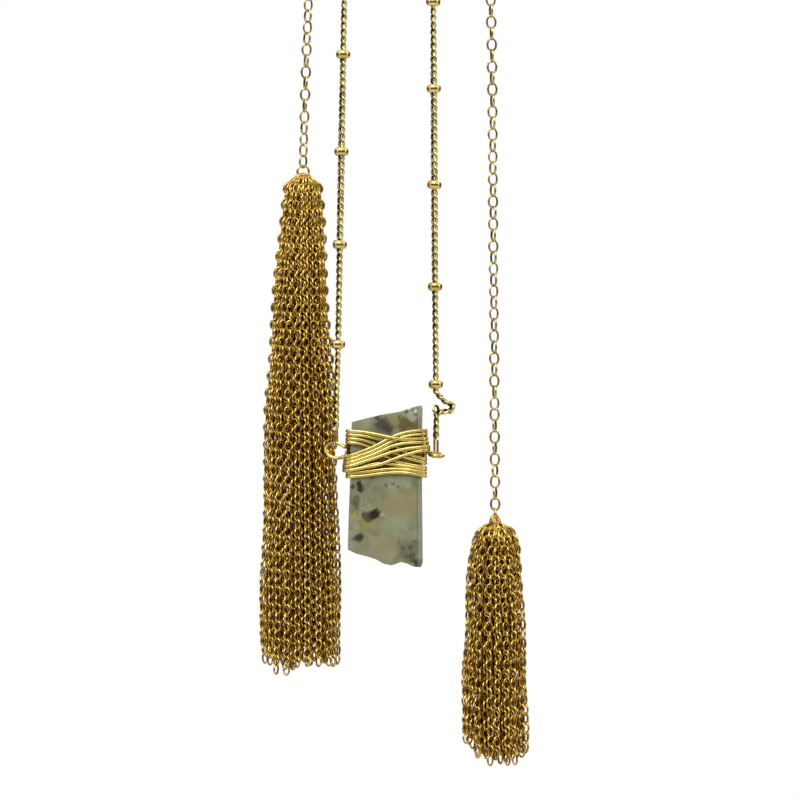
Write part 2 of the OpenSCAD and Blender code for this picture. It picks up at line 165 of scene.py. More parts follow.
# %% Node group for plated metal
ROUGHER_IN_HOLLOWS = 0.22
plating = named_group("antique plating", "ShaderNodeTree", {
    "Bright": "Color", "Deep": "Color", "Cloud size": "Float", "Polish": "Float",
    "Hollow depth": "Float",
}, {"Color": "Color", "Roughness": "Float", "Height": "Float"})
given = node(plating, "NodeGroupInput", (-900, 0))
where = node(plating, "ShaderNodeTexCoord", (-900, -300))
clouds = node(plating, "ShaderNodeTexNoise", (-650, -100), {"Detail": 4})
dents = node(plating, "ShaderNodeTexNoise", (-650, -400), {"Scale": 2600})
# Darker hollows (patina and painted shade) and each link's tone with painted shade come from
# attributes.
patina_and_shade = node(plating, "ShaderNodeAttribute", (-900, -600), attribute_name="patina_and_shade")
tone_and_shade = node(plating, "ShaderNodeAttribute", (-900, -800), attribute_name="tone_and_shade")
cloud_mask = node(
    plating, "ShaderNodeMapRange", (-420, -100),
    {"From Min": 0.42, "From Max": 0.72, "To Max": 0.45},
)
hollow = node(plating, "ShaderNodeMath", (-650, -650), operation="MULTIPLY")
with_tone = node(plating, "ShaderNodeMath", (-420, -650), operation="ADD")
darkening = node(plating, "ShaderNodeMath", (-200, -300), operation="ADD", use_clamp=True)
plate_colour = node(plating, "ShaderNodeMix", (0, 100), data_type="RGBA")
rough = node(
    plating, "ShaderNodeMath", (0, -250), {1: ROUGHER_IN_HOLLOWS}, operation="MULTIPLY_ADD"
)
answer = node(plating, "NodeGroupOutput", (300, 0))
join(
    plating,
    (where.outputs["Object"], clouds.inputs["Vector"]),
    (where.outputs["Object"], dents.inputs["Vector"]),
    (given.outputs["Cloud size"], clouds.inputs["Scale"]),
    (clouds.outputs["Fac"], cloud_mask.inputs["Value"]),
    (patina_and_shade.outputs["Fac"], hollow.inputs[0]),
    (given.outputs["Hollow depth"], hollow.inputs[1]),
    (hollow.outputs[0], with_tone.inputs[0]),
    (tone_and_shade.outputs["Fac"], with_tone.inputs[1]),
    (cloud_mask.outputs["Result"], darkening.inputs[0]),
    (with_tone.outputs[0], darkening.inputs[1]),
    (darkening.outputs[0], plate_colour.inputs["Factor"]),
    (given.outputs["Bright"], plate_colour.inputs[6]),
    (given.outputs["Deep"], plate_colour.inputs[7]),
    (darkening.outputs[0], rough.inputs[0]),
    (given.outputs["Polish"], rough.inputs[2]),
    (plate_colour.outputs[2], answer.inputs["Color"]),
    (rough.outputs[0], answer.inputs["Roughness"]),
    (dents.outputs["Fac"], answer.inputs["Height"]),
)
print("plating group has", len(plating.nodes), "nodes")


# %% [markdown]
# Each gold finish is a metal Principled shader fed by the group. The tassels are a deep
# antique gold. The cable and curb chains are paler, with darker hollows of patina and painted
# shade, the wrapping wire is pale all over, and beads and clasp lie between them.

# %% Gold finishes
DENT_DEPTH = 0.02  # in millimetres


def plated_metal(name, bright, deep, cloud_size, polish, hollow_depth, dent=0.15):
    material = bpy.data.materials.new(name)
    material.use_nodes = True
    material.diffuse_color = (*bright, 1)
    tree = material.node_tree
    shader = tree.nodes["Principled BSDF"]
    shader.inputs["Metallic"].default_value = 1
    shader.inputs["IOR"].default_value = 1.45
    plate = node(tree, "ShaderNodeGroup", (-500, 100), {
        "Bright": (*bright, 1), "Deep": (*deep, 1), "Cloud size": cloud_size,
        "Polish": polish, "Hollow depth": hollow_depth,
    }, node_tree=plating)
    bump = node(
        tree, "ShaderNodeBump", (-250, -200), {"Strength": dent, "Distance": DENT_DEPTH * MM}
    )
    join(
        tree,
        (plate.outputs["Color"], shader.inputs["Base Color"]),
        (plate.outputs["Roughness"], shader.inputs["Roughness"]),
        (plate.outputs["Height"], bump.inputs["Height"]),
        (bump.outputs["Normal"], shader.inputs["Normal"]),
    )
    print(f"{name}: bright {bright}, deep {deep}")
    return material


# The last number sets how dark the hollows get: patina and painted shade.
chain_gold = plated_metal(
    "antique chain gold", (0.91, 0.665, 0.19), (0.20, 0.08, 0.0), 700, 0.16, 0.8
)
cable_gold = plated_metal(
    "cable chain gold", (0.80, 0.66, 0.30), (0.06, 0.04, 0.005), 700, 0.16, 0.9
)
curb_gold = plated_metal(
    "curb chain gold", (0.95, 0.83, 0.36), (0.015, 0.008, 0.0), 700, 0.13, 1.0
)
bead_gold = plated_metal(
    "bead gold", (0.86, 0.71, 0.30), (0.22, 0.14, 0.02), 500, 0.14, 0.8
)
wire_gold = plated_metal(
    "pale wire gold", (0.79, 0.655, 0.235), (0.24, 0.13, 0.01), 350, 0.13, 0.5, dent=0.05
)
clasp_gold = plated_metal(
    "clasp gold", (0.84, 0.62, 0.24), (0.35, 0.22, 0.06), 300, 0.2, 0.6
)


# %% [markdown]
# ## One link, many times
#
# A chain is one link repeated. The link starts as a torus, and each ring of its wire is
# moved along the link by its own amount, so the torus becomes a long oval while its wire
# stays round. Then it is copied by Geometry Nodes: a mesh of bare points holds where each
# link goes and how it is turned, the link is put on each point, and the result is made real.

# %% Model a link
LINK_BEND = 0.8  # below 1 keeps the ends of a long link broad


def model_link(name, length, width, wire, around, sides, twist=0.0, shade=0.0):
    """A long link in the XZ plane, in millimetres, its length along Z.

    A larger shade lets the painted shade and patina of the hollow reach further round the wire.
    """
    radius = (width - wire) / 2 * MM
    clear_selection()
    bpy.ops.mesh.primitive_torus_add(
        major_segments=around, minor_segments=sides, major_radius=radius,
        minor_radius=wire / 2 * MM, rotation=(math.pi / 2, 0, 0),
    )
    link = bpy.context.object
    link.name = name
    place_into_mesh(link)
    ring_centres = []
    for ring in range(around):
        angle = 2 * math.pi * ring / around
        outward = Vector((math.cos(angle), 0, math.sin(angle)))
        lift = math.copysign(abs(outward.z) ** LINK_BEND, outward.z) * (length - width) / 2 * MM
        bpy.ops.object.mode_set(mode="EDIT")
        form = bmesh.from_edit_mesh(link.data)
        for vertex in form.verts:
            vertex.select_set(vertex.index // sides == ring)
        bmesh.update_edit_mesh(link.data)
        bpy.ops.transform.translate(value=(0, 0, lift))
        bpy.ops.object.mode_set(mode="OBJECT")
        ring_centres.append((outward * radius + Vector((0, 0, lift)), outward))
    # Painted shade and patina: the inner side of the wire, facing the hole, is marked to be
    # darker.
    hollow_mark = link.data.attributes.new("patina_and_shade", "FLOAT", "POINT")
    for index, vertex in enumerate(link.data.vertices):
        centre, outward = ring_centres[index // sides]
        inside = (centre - vertex.co).dot(outward) / (wire / 2 * MM)
        hollow_mark.data[index].value = min(1, max(0, inside + shade))
    if twist:
        turn = link.modifiers.new("twist", "SIMPLE_DEFORM")
        turn.deform_method = "TWIST"
        turn.deform_axis = "Z"
        turn.angle = math.radians(twist)
        apply_modifiers(link)
    pick(link)
    bpy.ops.object.shade_smooth()
    return link


# %% Copy a link onto points
def link_copier(link):
    tree = named_group(
        "copies of " + link.name, "GeometryNodeTree",
        {"Geometry": "Geometry"}, {"Geometry": "Geometry"},
    )
    points = node(tree, "NodeGroupInput", (-600, 0))
    pattern = node(tree, "GeometryNodeObjectInfo", (-600, -200), {"Object": link})
    turned = node(
        tree, "GeometryNodeInputNamedAttribute", (-600, -400), {"Name": "turn"},
        data_type="QUATERNION",
    )
    copies = node(tree, "GeometryNodeInstanceOnPoints", (-300, 0))
    real = node(tree, "GeometryNodeRealizeInstances", (-80, 0))
    done = node(tree, "NodeGroupOutput", (120, 0))
    join(
        tree,
        (points.outputs[0], copies.inputs["Points"]),
        (pattern.outputs["Geometry"], copies.inputs["Instance"]),
        (turned.outputs["Attribute"], copies.inputs["Rotation"]),
        (copies.outputs["Instances"], real.inputs["Geometry"]),
        (real.outputs["Geometry"], done.inputs[0]),
    )
    return tree


def copy_link(name, link, places):
    """One piece made of links; places lists (position in millimetres, quaternion, how dark the
    link is: by chance, with painted shade in the tassels).
    """
    mesh = bpy.data.meshes.new(name)
    mesh.from_pydata([tuple(c * MM for c in place[0]) for place in places], [], [])
    turns = mesh.attributes.new("turn", "QUATERNION", "POINT")
    turns.data.foreach_set("value", [part for place in places for part in place[1]])
    tones = mesh.attributes.new("tone_and_shade", "FLOAT", "POINT")
    tones.data.foreach_set("value", [place[2] for place in places])
    mesh.update()
    piece = bpy.data.objects.new(name, mesh)
    bpy.context.collection.objects.link(piece)
    copier = piece.modifiers.new("copies", "NODES")
    copier.node_group = link_copier(link)
    apply_modifiers(piece)
    if "turn" in piece.data.attributes:
        piece.data.attributes.remove(piece.data.attributes["turn"])
    pick(piece)
    bpy.ops.object.shade_smooth()
    print(f"{name}: {len(places)} links")
    return piece


def put_away(pattern):
    bpy.data.objects.remove(pattern, do_unlink=True)


# %% [markdown]
# A chain follows a route of chosen points. The route is smoothed, measured, and stepped
# along at the links' pitch. Each link stands along the route, and is then turned about it
# as its chain asks: nearly a quarter turn from its neighbours in a plain chain, and the
# same way as they are in a curb chain.

# %% Routes
LOOK_AHEAD = 0.3  # how far a link looks ahead and behind for its direction, in pitches


def smoothed(points, steps):
    """A curve through the points, with this many steps between each two."""
    curve = []
    for i in range(len(points) - 1):
        a, b = points[max(i - 1, 0)], points[i]
        c, d = points[i + 1], points[min(i + 2, len(points) - 1)]
        for k in range(steps):
            t = k / steps
            curve.append(
                b + 0.5 * (
                    (c - a) * t + (2 * a - 5 * b + 4 * c - d) * t * t
                    + (3 * b - a - 3 * c + d) * t ** 3
                )
            )
    curve.append(points[-1])
    return curve


def walk(curve, pitch, first=0.0, count=None):
    """Yields positions and upward directions at equal steps along the curve."""
    runs = [0.0]
    for a, b in zip(curve, curve[1:]):
        runs.append(runs[-1] + (b - a).length)

    def at(run):
        run = min(max(run, 0), runs[-1])
        i = 0
        while i < len(runs) - 2 and runs[i + 1] < run:
            i += 1
        share = (run - runs[i]) / (runs[i + 1] - runs[i])
        return curve[i].lerp(curve[i + 1], share)

    if count is None:
        count = int((runs[-1] - first) / pitch) + 1
    for k in range(count):
        run = first + k * pitch
        before, after = at(run - pitch * LOOK_AHEAD), at(run + pitch * LOOK_AHEAD)
        yield k, at(run), (before - after).normalized()


def standing(direction, turn_degrees):
    """A turn that sets a link along a direction, then turns it about that direction."""
    front = (Vector((0, 1, 0)) - direction * direction.y).normalized()
    side = front.cross(direction)
    frame_of = Matrix((side, front, direction)).transposed()
    spin = Matrix.Rotation(math.radians(turn_degrees), 3, "Z")
    return (frame_of @ spin).to_quaternion()


def table_value(table, x):
    """The value at x, on straight lines between the rows of the table."""
    for (x0, y0), (x1, y1) in zip(table, table[1:]):
        if (x - x0) * (x - x1) <= 0:
            return y0 + (y1 - y0) * (x - x0) / (x1 - x0)
    near = min(table, key=lambda row: abs(row[0] - x))
    return near[1]


# %% [markdown]
# ## Cable chain
#
# The cable chain is made of plain oval links of round wire, about 2 mm wide. Neighbours hang
# nearly a quarter turn from each other, and the whole chain turns slowly on itself, so some
# links show their face and others their edge. The turn at each height is listed. The
# solids already hold these links, but with many thousands of facets, so lighter and
# smoother ones stand for them on the same route.

# %% Cable chain
CABLE_WIRE, CABLE_WIDE, CABLE_PITCH = 0.42, 2.12, 2.16
CABLE_LONG, CABLE_PLAY = 2.98, 0.12
CABLE_NEIGHBOUR_TURN = 78
LOOSE_TURN = 5  # how far a link may be turned by chance, in degrees
cable_link = model_link(
    "cable link", CABLE_LONG - CABLE_PLAY, CABLE_WIDE, CABLE_WIRE, around=12, sides=6
)


def cable_start(node_name):
    """Height of the first link's centre, from the top of its solids."""
    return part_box(node_name)[1].z / MM - CABLE_LONG / 2


cable_left_route = [Vector(p) for p in (
    (-5.6, 0.9, cable_start("cable_left_upper")), (-6.6, 1.2, -15), (-9, 2, -40),
    (-11.6, 3.6, -75), (-14, 5.2, -110), (-15.6, 6.6, -142.5), (-16.7, 8, -175.5),
)]
cable_right_route = [Vector(p) for p in (
    (6.1, 0.9, cable_start("cable_right_upper")), (7.6, 1.3, -15), (10.8, 1.4, -40),
    (14.6, 1.5, -75), (17.6, 1.9, -110), (19.6, 2.3, -142.5), (20.1, 2.6, -190),
    (20.5, 3, -243),
)]
TWIST_LEFT = [  # z in millimetres, turn in degrees
    (0, 0), (-142, -38), (-148, -42), (-152, -60), (-155, -70), (-162, -74), (-168, -38),
    (-176, -36),
]
TWIST_RIGHT = [
    (0, 0), (-110, -40), (-142, -64), (-146, -76), (-160, -76), (-165.5, -62), (-171.5, -54),
    (-176, -50), (-180, -64), (-184, -56), (-188.5, -64), (-193, -56), (-198, -48), (-204, -56),
    (-214, -62), (-219, -74), (-223, 0), (-227, -4), (-233, -20), (-238, -6), (-243, -4),
]


def cable_places(route, twist, count):
    places = []
    for k, at, up in walk(smoothed(route, 5), CABLE_PITCH, count=count):
        turn = table_value(twist, at.z) + CABLE_NEIGHBOUR_TURN * (k % 2)
        turn += dice.uniform(-LOOSE_TURN, LOOSE_TURN)
        places.append((at, standing(up, turn), dice.uniform(-0.08, 0.12)))
    return places


for side, route, twist, count in (
    ("left", cable_left_route, TWIST_LEFT, 80), ("right", cable_right_route, TWIST_RIGHT, 111),
):
    chain = copy_link(f"cable_chain_{side}", cable_link, cable_places(route, twist, count))
    finish_piece(
        chain, "necklace", "gold_chain", cable_gold, f"cable_{side}_upper", f"cable_{side}_lower"
    )
put_away(cable_link)

# %% [markdown]
# ## Curb chain
#
# The fine chain is a curb chain: each link is twisted until its neighbours lie flat, so one
# side of every link crosses the front as a bright slanting stroke, and the gaps between
# stay dark, helped by painted shade on the inner side of each link. The copies all face the
# same way. Near the stone the right side has a kink, where the links have locked sideways.

# %% Curb chain
CURB_WIRE, CURB_WIDE, CURB_PITCH = 0.58, 1.78, 1.35
CURB_TWIST, CURB_TURN = -64, 120
CURB_DRIFT, CURB_DRIFT_BEAT = 9, 0.11
LINK_PLAY = 0.06
CURB_LONG = CURB_PITCH + 2 * CURB_WIRE - LINK_PLAY
# Painted shade reaches further round each curb link's wire.
curb_link = model_link(
    "curb link", CURB_LONG, CURB_WIDE, CURB_WIRE, around=12, sides=6, twist=CURB_TWIST, shade=0.3
)

HOLD_LEFT = Vector((-10.2, 0, -227.7))
HOLD_RIGHT = Vector((9.05, 0, -229.6))
STRAND_END = 3.78  # how far above its hold a strand ends
satellite_left_route = [Vector(p) for p in (
    (-5.6, -0.9, -2.55), (-6, -0.8, -20), (-7.1, -0.5, -75), (-7.8, -0.2, -110),
    (-8.6, 0, -142), (-9.3, 0, -180), (-9.8, 0, -209), (-10.1, 0, -219),
    (HOLD_LEFT.x, 0, HOLD_LEFT.z + STRAND_END),
)]
satellite_right_route = [Vector(p) for p in (
    (6.1, -0.9, -2.45), (6.5, -0.8, -20), (7.5, -0.5, -75), (8.1, -0.2, -110),
    (8.5, 0, -142), (8.8, 0, -190), (9, 0, -214), (9, 0, -217.5), (9.8, 0, -218.7),
    (10.8, 0, -219.7), (11.8, 0, -220.2), (12.2, 0, -220.8), (11.7, 0, -221.4),
    (10.8, 0, -221.6), (9.8, 0, -221.8), (9.2, 0, -222.4), (9.1, 0, -223.6),
    (HOLD_RIGHT.x, 0, HOLD_RIGHT.z + STRAND_END),
)]


def curb_places(route):
    curve = smoothed(route, 4)
    total = sum((b - a).length for a, b in zip(curve, curve[1:]))
    count = round(total / CURB_PITCH) + 1
    places = []
    for k, at, up in walk(curve, total / (count - 1), count=count):
        turn = CURB_TURN + CURB_DRIFT * math.sin(k * CURB_DRIFT_BEAT)
        turn += dice.uniform(-LOOSE_TURN, LOOSE_TURN)
        places.append((at, standing(up, turn), dice.uniform(-0.06, 0.12)))
    return places


sideways_up = Vector((-0.25, 0, 1)).normalized()
sideways_link = (Vector((9.05, 0.1, -221.35)), standing(sideways_up, 40), 0.0)
for side, route, more_links, names in (
    ("left", satellite_left_route, [], ["satellite_left_chain"]),
    ("right", satellite_right_route, [sideways_link],
     ["satellite_right_chain", "satellite_right_kink"]),
):
    chain = copy_link(f"curb_chain_{side}", curb_link, curb_places(route) + more_links)
    finish_piece(chain, "necklace", "gold_chain", curb_gold, *names)
put_away(curb_link)


# %% [markdown]
# ## Beads
#
# The beads on the fine chain are small pressed rings with a full, rounded side and a hole
# for the chain. A bead's section is drawn as a few points, and a Screw modifier turns it
# round its own axis, as a lathe would. The Spin operator makes the same shape, but numbers
# its faces in another order each run. Then a copy goes where each solid bead is.

# %% Bead
BEAD_STEPS = 24
# Painted shade in the bead's hole: it is darker near the bore.
BEAD_SHADE = 0.9, 0.2  # the hole is dark up to this radius, and how soft that edge is


def model_bead():
    """A bored, rounded bead about Z, 2.8 mm wide and 1.7 mm high."""
    section = [
        (0.66, 0.72), (0.78, 0.83), (0.98, 0.82), (1.18, 0.68), (1.33, 0.42), (1.40, 0.0),
    ]
    outline = section + [(x, -z) for x, z in reversed(section[:-1])]
    mesh = bpy.data.meshes.new("bead section")
    points = [(x * MM, 0, z * MM) for x, z in outline]
    count = len(points)
    mesh.from_pydata(points, [((i + 1) % count, i) for i in range(count)], [])
    bead = bpy.data.objects.new("bead", mesh)
    bpy.context.collection.objects.link(bead)
    lathe = bead.modifiers.new("lathe", "SCREW")
    lathe.steps = lathe.render_steps = BEAD_STEPS
    apply_modifiers(bead)
    bpy.ops.object.mode_set(mode="EDIT")
    bpy.ops.mesh.select_all(action="SELECT")
    bpy.ops.mesh.normals_make_consistent(inside=False)
    bpy.ops.object.mode_set(mode="OBJECT")
    # Painted shade: the side of the hole is marked to be darker.
    mark = bead.data.attributes.new("patina_and_shade", "FLOAT", "POINT")
    for index, vertex in enumerate(bead.data.vertices):
        reach = math.hypot(vertex.co.x, vertex.co.y) / MM
        mark.data[index].value = min(1, max(0, (BEAD_SHADE[0] - reach) / BEAD_SHADE[1]))
    return bead


# %% Beads where the solid ones are
BEAD_TILT = 0.06  # how far a bead may lean on the chain, in radians
BEAD_CREASE = math.radians(50)


def solid_centres(node_name):
    """Centres of a node's loose solids, in millimetres, from the top down."""
    form = bmesh.new()
    form.from_mesh(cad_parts[node_name].data)
    bmesh.ops.remove_doubles(form, verts=form.verts, dist=1e-7)
    unseen, centres = set(form.verts), []
    while unseen:
        start = unseen.pop()
        group, to_visit = [start], [start]
        while to_visit:
            for edge in to_visit.pop().link_edges:
                for vertex in edge.verts:
                    if vertex in unseen:
                        unseen.discard(vertex)
                        group.append(vertex)
                        to_visit.append(vertex)
        low = [min(v.co[i] for v in group) for i in range(3)]
        high = [max(v.co[i] for v in group) for i in range(3)]
        centres.append(Vector([(a + b) / 2 / MM for a, b in zip(low, high)]))
    form.free()
    return sorted(centres, key=lambda c: -c.z)


bead = model_bead()
for side in ("left", "right"):
    upright = []
    for centre in solid_centres(f"satellite_{side}_beads"):
        spin = Quaternion((0, 0, 1), dice.uniform(0, 6))
        tilt = Quaternion((1, 0, 0), dice.uniform(-BEAD_TILT, BEAD_TILT))
        upright.append((centre, spin @ tilt, 0))
    beads = copy_link(f"beads_{side}", bead, upright)
    bpy.ops.object.shade_smooth_by_angle(angle=BEAD_CREASE)
    finish_piece(beads, "necklace", "gold_bead", bead_gold, f"satellite_{side}_beads")
put_away(bead)

# %% [markdown]
# ## Tassels
#
# A tassel is a bundle of some seventy fine chains on one ring. They spread from the ring as
# a small dome and hang in five layers. The two outer layers are seen, so their links are
# rounder, and the inner ones only close the gaps and are painted darker, as shade inside
# the bundle. Each chain gets its own turn, a little drift and its own length, so the lower
# edge is ragged. The widths down the tassel are shares of its half width, the ends are
# shares of its length from left to right, and lean is how far it hangs to the side.

# %% Tassel measures
TASSEL_WIRE, INNER_WIRE, TASSEL_WIDE = 0.39, 0.54, 1.72
TASSELS = {
    "left": {
        "at": Vector((-16.63, 7.9, -175.2)), "length": 95.8, "half": 8.1, "pitch": 1.66,
        "lean": -0.5,
        "shape": [
            (0, 0.05), (0.006, 0.26), (0.012, 0.36), (0.024, 0.44), (0.06, 0.485),
            (0.2, 0.626), (0.33, 0.74), (0.45, 0.87), (0.61, 0.905), (0.8, 0.99), (1.2, 1.03),
        ],
        "ends": [
            (-1, 0.972), (-0.85, 0.985), (-0.6, 0.999), (-0.35, 1.0), (-0.1, 0.985),
            (0.1, 0.988), (0.35, 0.992), (0.6, 0.985), (1, 0.99),
        ],
        # Chains in each layer, and how far out it hangs.
        "layers": [(21, 1.0), (20, 0.86), (16, 0.64), (10, 0.38), (5, 0.14)], "edge_stance": 4,
    },
    "right": {
        "at": Vector((20.47, 2.97, -241.4)), "length": 47.0, "half": 6.5, "pitch": 1.82,
        "lean": -0.08,
        "shape": [
            (0, 0.05), (0.02, 0.12), (0.028, 0.25), (0.042, 0.5), (0.06, 0.62),
            (0.085, 0.70), (0.12, 0.75), (0.19, 0.82), (0.34, 0.9), (0.64, 1), (0.86, 1.05),
            (1.2, 1.06),
        ],
        "ends": [
            (-1, 0.9), (-0.8, 0.95), (-0.55, 0.985), (-0.2, 1.0), (0.1, 0.99),
            (0.5, 0.995), (0.8, 0.985), (1, 0.965),
        ],
        "layers": [(19, 1.0), (18, 0.86), (14, 0.62), (9, 0.36), (4, 0.14)], "edge_stance": 40,
    },
}
TASSEL_DEPTH = 0.78  # front to back, as a share of the width
TASSEL_RING_R = 1.15
LINK_STANCES = (0, 8, 30, 40, 48, 65)  # how a chain may be turned at the top, in degrees
LOWER_STANCE = 45
STRAND_NEIGHBOUR_TURN = 88
for side, tassel in TASSELS.items():
    print(side, "tassel has", sum(count for count, _ in tassel["layers"]), "chains")


# %% [markdown]
# A chain of the tassel follows a curve down the bundle. It opens with the dome, leans as the
# tassel does, and strays a little once it hangs loose.

# %% Strand curves
STRAND_STEPS, STEP_POWER = 60, 1.6  # a power over 1 puts the steps closer at the top
RUN_ON = 1.03  # the curve goes on past the tassel's length, and each strand's end cuts it
LAYER_DROP = 0.3  # each layer starts this much lower, so the dome closes
NARROWEST = 0.3
WANDER, SWAY = 0.05, 0.16  # how far a strand strays round the bundle, and in and out
LOOSE_RATE, LEAN_RATE = 8, 3.5  # it strays in full after 1/8 of its length, leans after 2/7


def strand_curve(tassel, layer, angle):
    spread = tassel["layers"][layer][1]
    top = tassel["at"] - Vector((0, 0, TASSEL_RING_R))
    half = tassel["half"] - TASSEL_WIDE / 2
    wander, sway, beat = dice.uniform(-WANDER, WANDER), dice.uniform(0, 6), dice.uniform(7, 12)
    curve = []
    for step in range(STRAND_STEPS + 1):
        share = (step / STRAND_STEPS) ** STEP_POWER * RUN_ON
        loose = min(1, share * LOOSE_RATE)
        wide = max(table_value(tassel["shape"], share) * half * spread, NARROWEST)
        wide += SWAY * loose * math.sin(share * beat * 2 + sway)
        turn = angle + wander * math.sin(share * beat + sway)
        lean = tassel["lean"] * min(1, share * LEAN_RATE)
        curve.append(top + Vector((
            lean + wide * math.cos(turn), wide * TASSEL_DEPTH * math.sin(turn),
            0.1 - tassel["length"] * share - LAYER_DROP * layer,
        )))
    return curve


# %% [markdown]
# On the left tassel's silhouette the links stand face-on at the top, so the edge shows round
# rings. Further down all the chains settle half turned, and their links line up in rows.

# %% Strand places
STRAND_SCATTER = 0.06  # how far a strand may start from its even place, in radians
SHORTER_BEHIND = 0.012  # how much shorter strands behind are, as a share of the length
LAST_LINK_ABOVE = 0.6  # from the end of a strand to the lowest place for a link's centre
SETTLE_RATE, SETTLE_DELAY = 1.8, 0.5  # links settle from 0.28 to 0.83 of the length
STRAND_DRIFT, STRAND_DRIFT_BEAT, STRAND_LOOSE_TURN = 8, 0.21, 8
# Inner layers are painted darker, as shade inside the bundle.
STRAND_TONE, LAYER_SHADE = 0.02, 0.2  # how dark the outer layer is, and each next one more


def strand_places(tassel, layer, index):
    count = tassel["layers"][layer][0]
    jitter = 0 if index % count == 0 else dice.uniform(-STRAND_SCATTER, STRAND_SCATTER)
    angle = math.radians(180 + 360 * (index + 0.5 * (layer % 2)) / count) + jitter
    stance = dice.choice(LINK_STANCES)
    if layer == 0 and abs(math.cos(angle)) > 0.9:
        stance = tassel["edge_stance"]
    end_share = table_value(tassel["ends"], math.cos(angle))
    end_share -= layer * dice.uniform(0, SHORTER_BEHIND)
    if math.sin(angle) > 0:
        end_share -= SHORTER_BEHIND
    lowest = tassel["at"].z - TASSEL_RING_R - tassel["length"] * end_share + LAST_LINK_ABOVE
    places, first = [], dice.uniform(0, 0.35)
    for k, at, up in walk(strand_curve(tassel, layer, angle), tassel["pitch"], first=first):
        if at.z < lowest:
            break
        fallen = (tassel["at"].z - at.z) / tassel["length"]
        settled = min(1, max(0, fallen * SETTLE_RATE - SETTLE_DELAY))
        turn = stance + (LOWER_STANCE - stance) * settled + STRAND_NEIGHBOUR_TURN * (k % 2)
        turn += STRAND_DRIFT * math.sin(k * STRAND_DRIFT_BEAT + index)
        turn += dice.uniform(-STRAND_LOOSE_TURN, STRAND_LOOSE_TURN)
        # Painted shade darkens the inner layers; the rest is tone by chance.
        tone_and_shade = STRAND_TONE + LAYER_SHADE * layer + dice.uniform(-0.1, 0.16)
        places.append((at, standing(up, turn), tone_and_shade))
    return places


# %% Tassel strands
def bundle(name, tassel, layers, wire, around, sides):
    long = tassel["pitch"] + 2 * wire - LINK_PLAY
    strand_link = model_link("strand link", long, TASSEL_WIDE, wire, around, sides)
    places = []
    for layer in layers:
        for index in range(tassel["layers"][layer][0]):
            places += strand_places(tassel, layer, index)
    strands = copy_link(name, strand_link, places)
    put_away(strand_link)
    return strands


for side, tassel in TASSELS.items():
    for part, layers, wire, around, sides, solids in (
        ("strands", (0,), TASSEL_WIRE, 10, 5, [f"tassel_{side}"]),
        ("middle_strands", (1,), TASSEL_WIRE, 10, 5, []),
        ("inner_strands", (2, 3, 4), INNER_WIRE, 8, 4, []),
    ):
        strands = bundle(f"tassel_{side}_{part}", tassel, layers, wire, around, sides)
        finish_piece(strands, "necklace", "gold_chain", chain_gold, *solids)


# %% [markdown]
# Each tassel shows a short neck of bent wire between ring and strands: an eye that hangs on
# the ring and tight turns under it, two on the right and one on the left. A neck is one
# curve with a round section, made into a mesh.

# %% Wire from a curve
def round_wire(name, points, thickness, swell=None):
    """A closed tube along points in millimetres; swell scales its thickness point by point."""
    curve = bpy.data.curves.new(name, "CURVE")
    curve.dimensions = "3D"
    curve.bevel_depth = thickness / 2 * MM
    curve.bevel_resolution = 2  # makes the section an octagon
    curve.use_fill_caps = True
    curve.twist_mode = "MINIMUM"
    line = curve.splines.new("POLY")
    line.points.add(len(points) - 1)
    for index, (spot, p) in enumerate(zip(line.points, points)):
        spot.co = (p[0] * MM, p[1] * MM, p[2] * MM, 1)
        spot.radius = swell[index] if swell else 1
    line.use_smooth = True
    piece = bpy.data.objects.new(name, curve)
    bpy.context.collection.objects.link(piece)
    pick(piece)
    bpy.ops.object.convert(target="MESH")
    piece = bpy.context.object
    bpy.ops.object.shade_smooth()
    return piece


# %% Necks of the tassels
EYE_STEPS, EYE_BEGIN, EYE_SWEEP = 14, -60, 300
TURN_STEPS, TURN_DROP, TURNS_BELOW = 14, 0.4, 0.2  # how far the turns sink, and begin
NECK_WIRE = 0.46


def neck_points(tassel, eye, coil, turns):
    """An eye on the ring, then turns below it; eye and coil are radii."""
    top = tassel["at"] - Vector((0, 0, TASSEL_RING_R))
    points = []
    for step in range(EYE_STEPS + 1):
        around = math.radians(EYE_BEGIN + EYE_SWEEP * step / EYE_STEPS)
        points.append(top + Vector((eye * math.sin(around), 0, eye * math.cos(around))))
    steps = TURN_STEPS * turns
    for step in range(steps + 1):
        around = math.radians(90 + 360 * turns * step / steps)
        points.append(top + Vector((
            coil * math.cos(around), coil * math.sin(around),
            -TURNS_BELOW - TURN_DROP * turns * step / steps,
        )))
    return points


for side, eye, coil, turns in (("left", 0.5, 0.6, 1), ("right", 0.62, 0.8, 2)):
    points = neck_points(TASSELS[side], eye, coil, turns)
    neck = round_wire(f"tassel_{side}_neck", points, NECK_WIRE)
    finish_piece(neck, "necklace", "gold_chain", bead_gold)

# %% [markdown]
# ## Wire wrap
#
# A soft pale wire goes round the stone about a dozen times. The upper turns sag to the
# right, and the lower ones lie nearly level. A second wire crosses over them and climbs to
# the right, and its ends are bent into the two eyes that the necklace holds. Each turn is
# set by its heights at ten places across the front, in millimetres above the right eye,
# and by how many layers it lies above the stone there. Round the back it simply goes on to
# where the next turn starts.

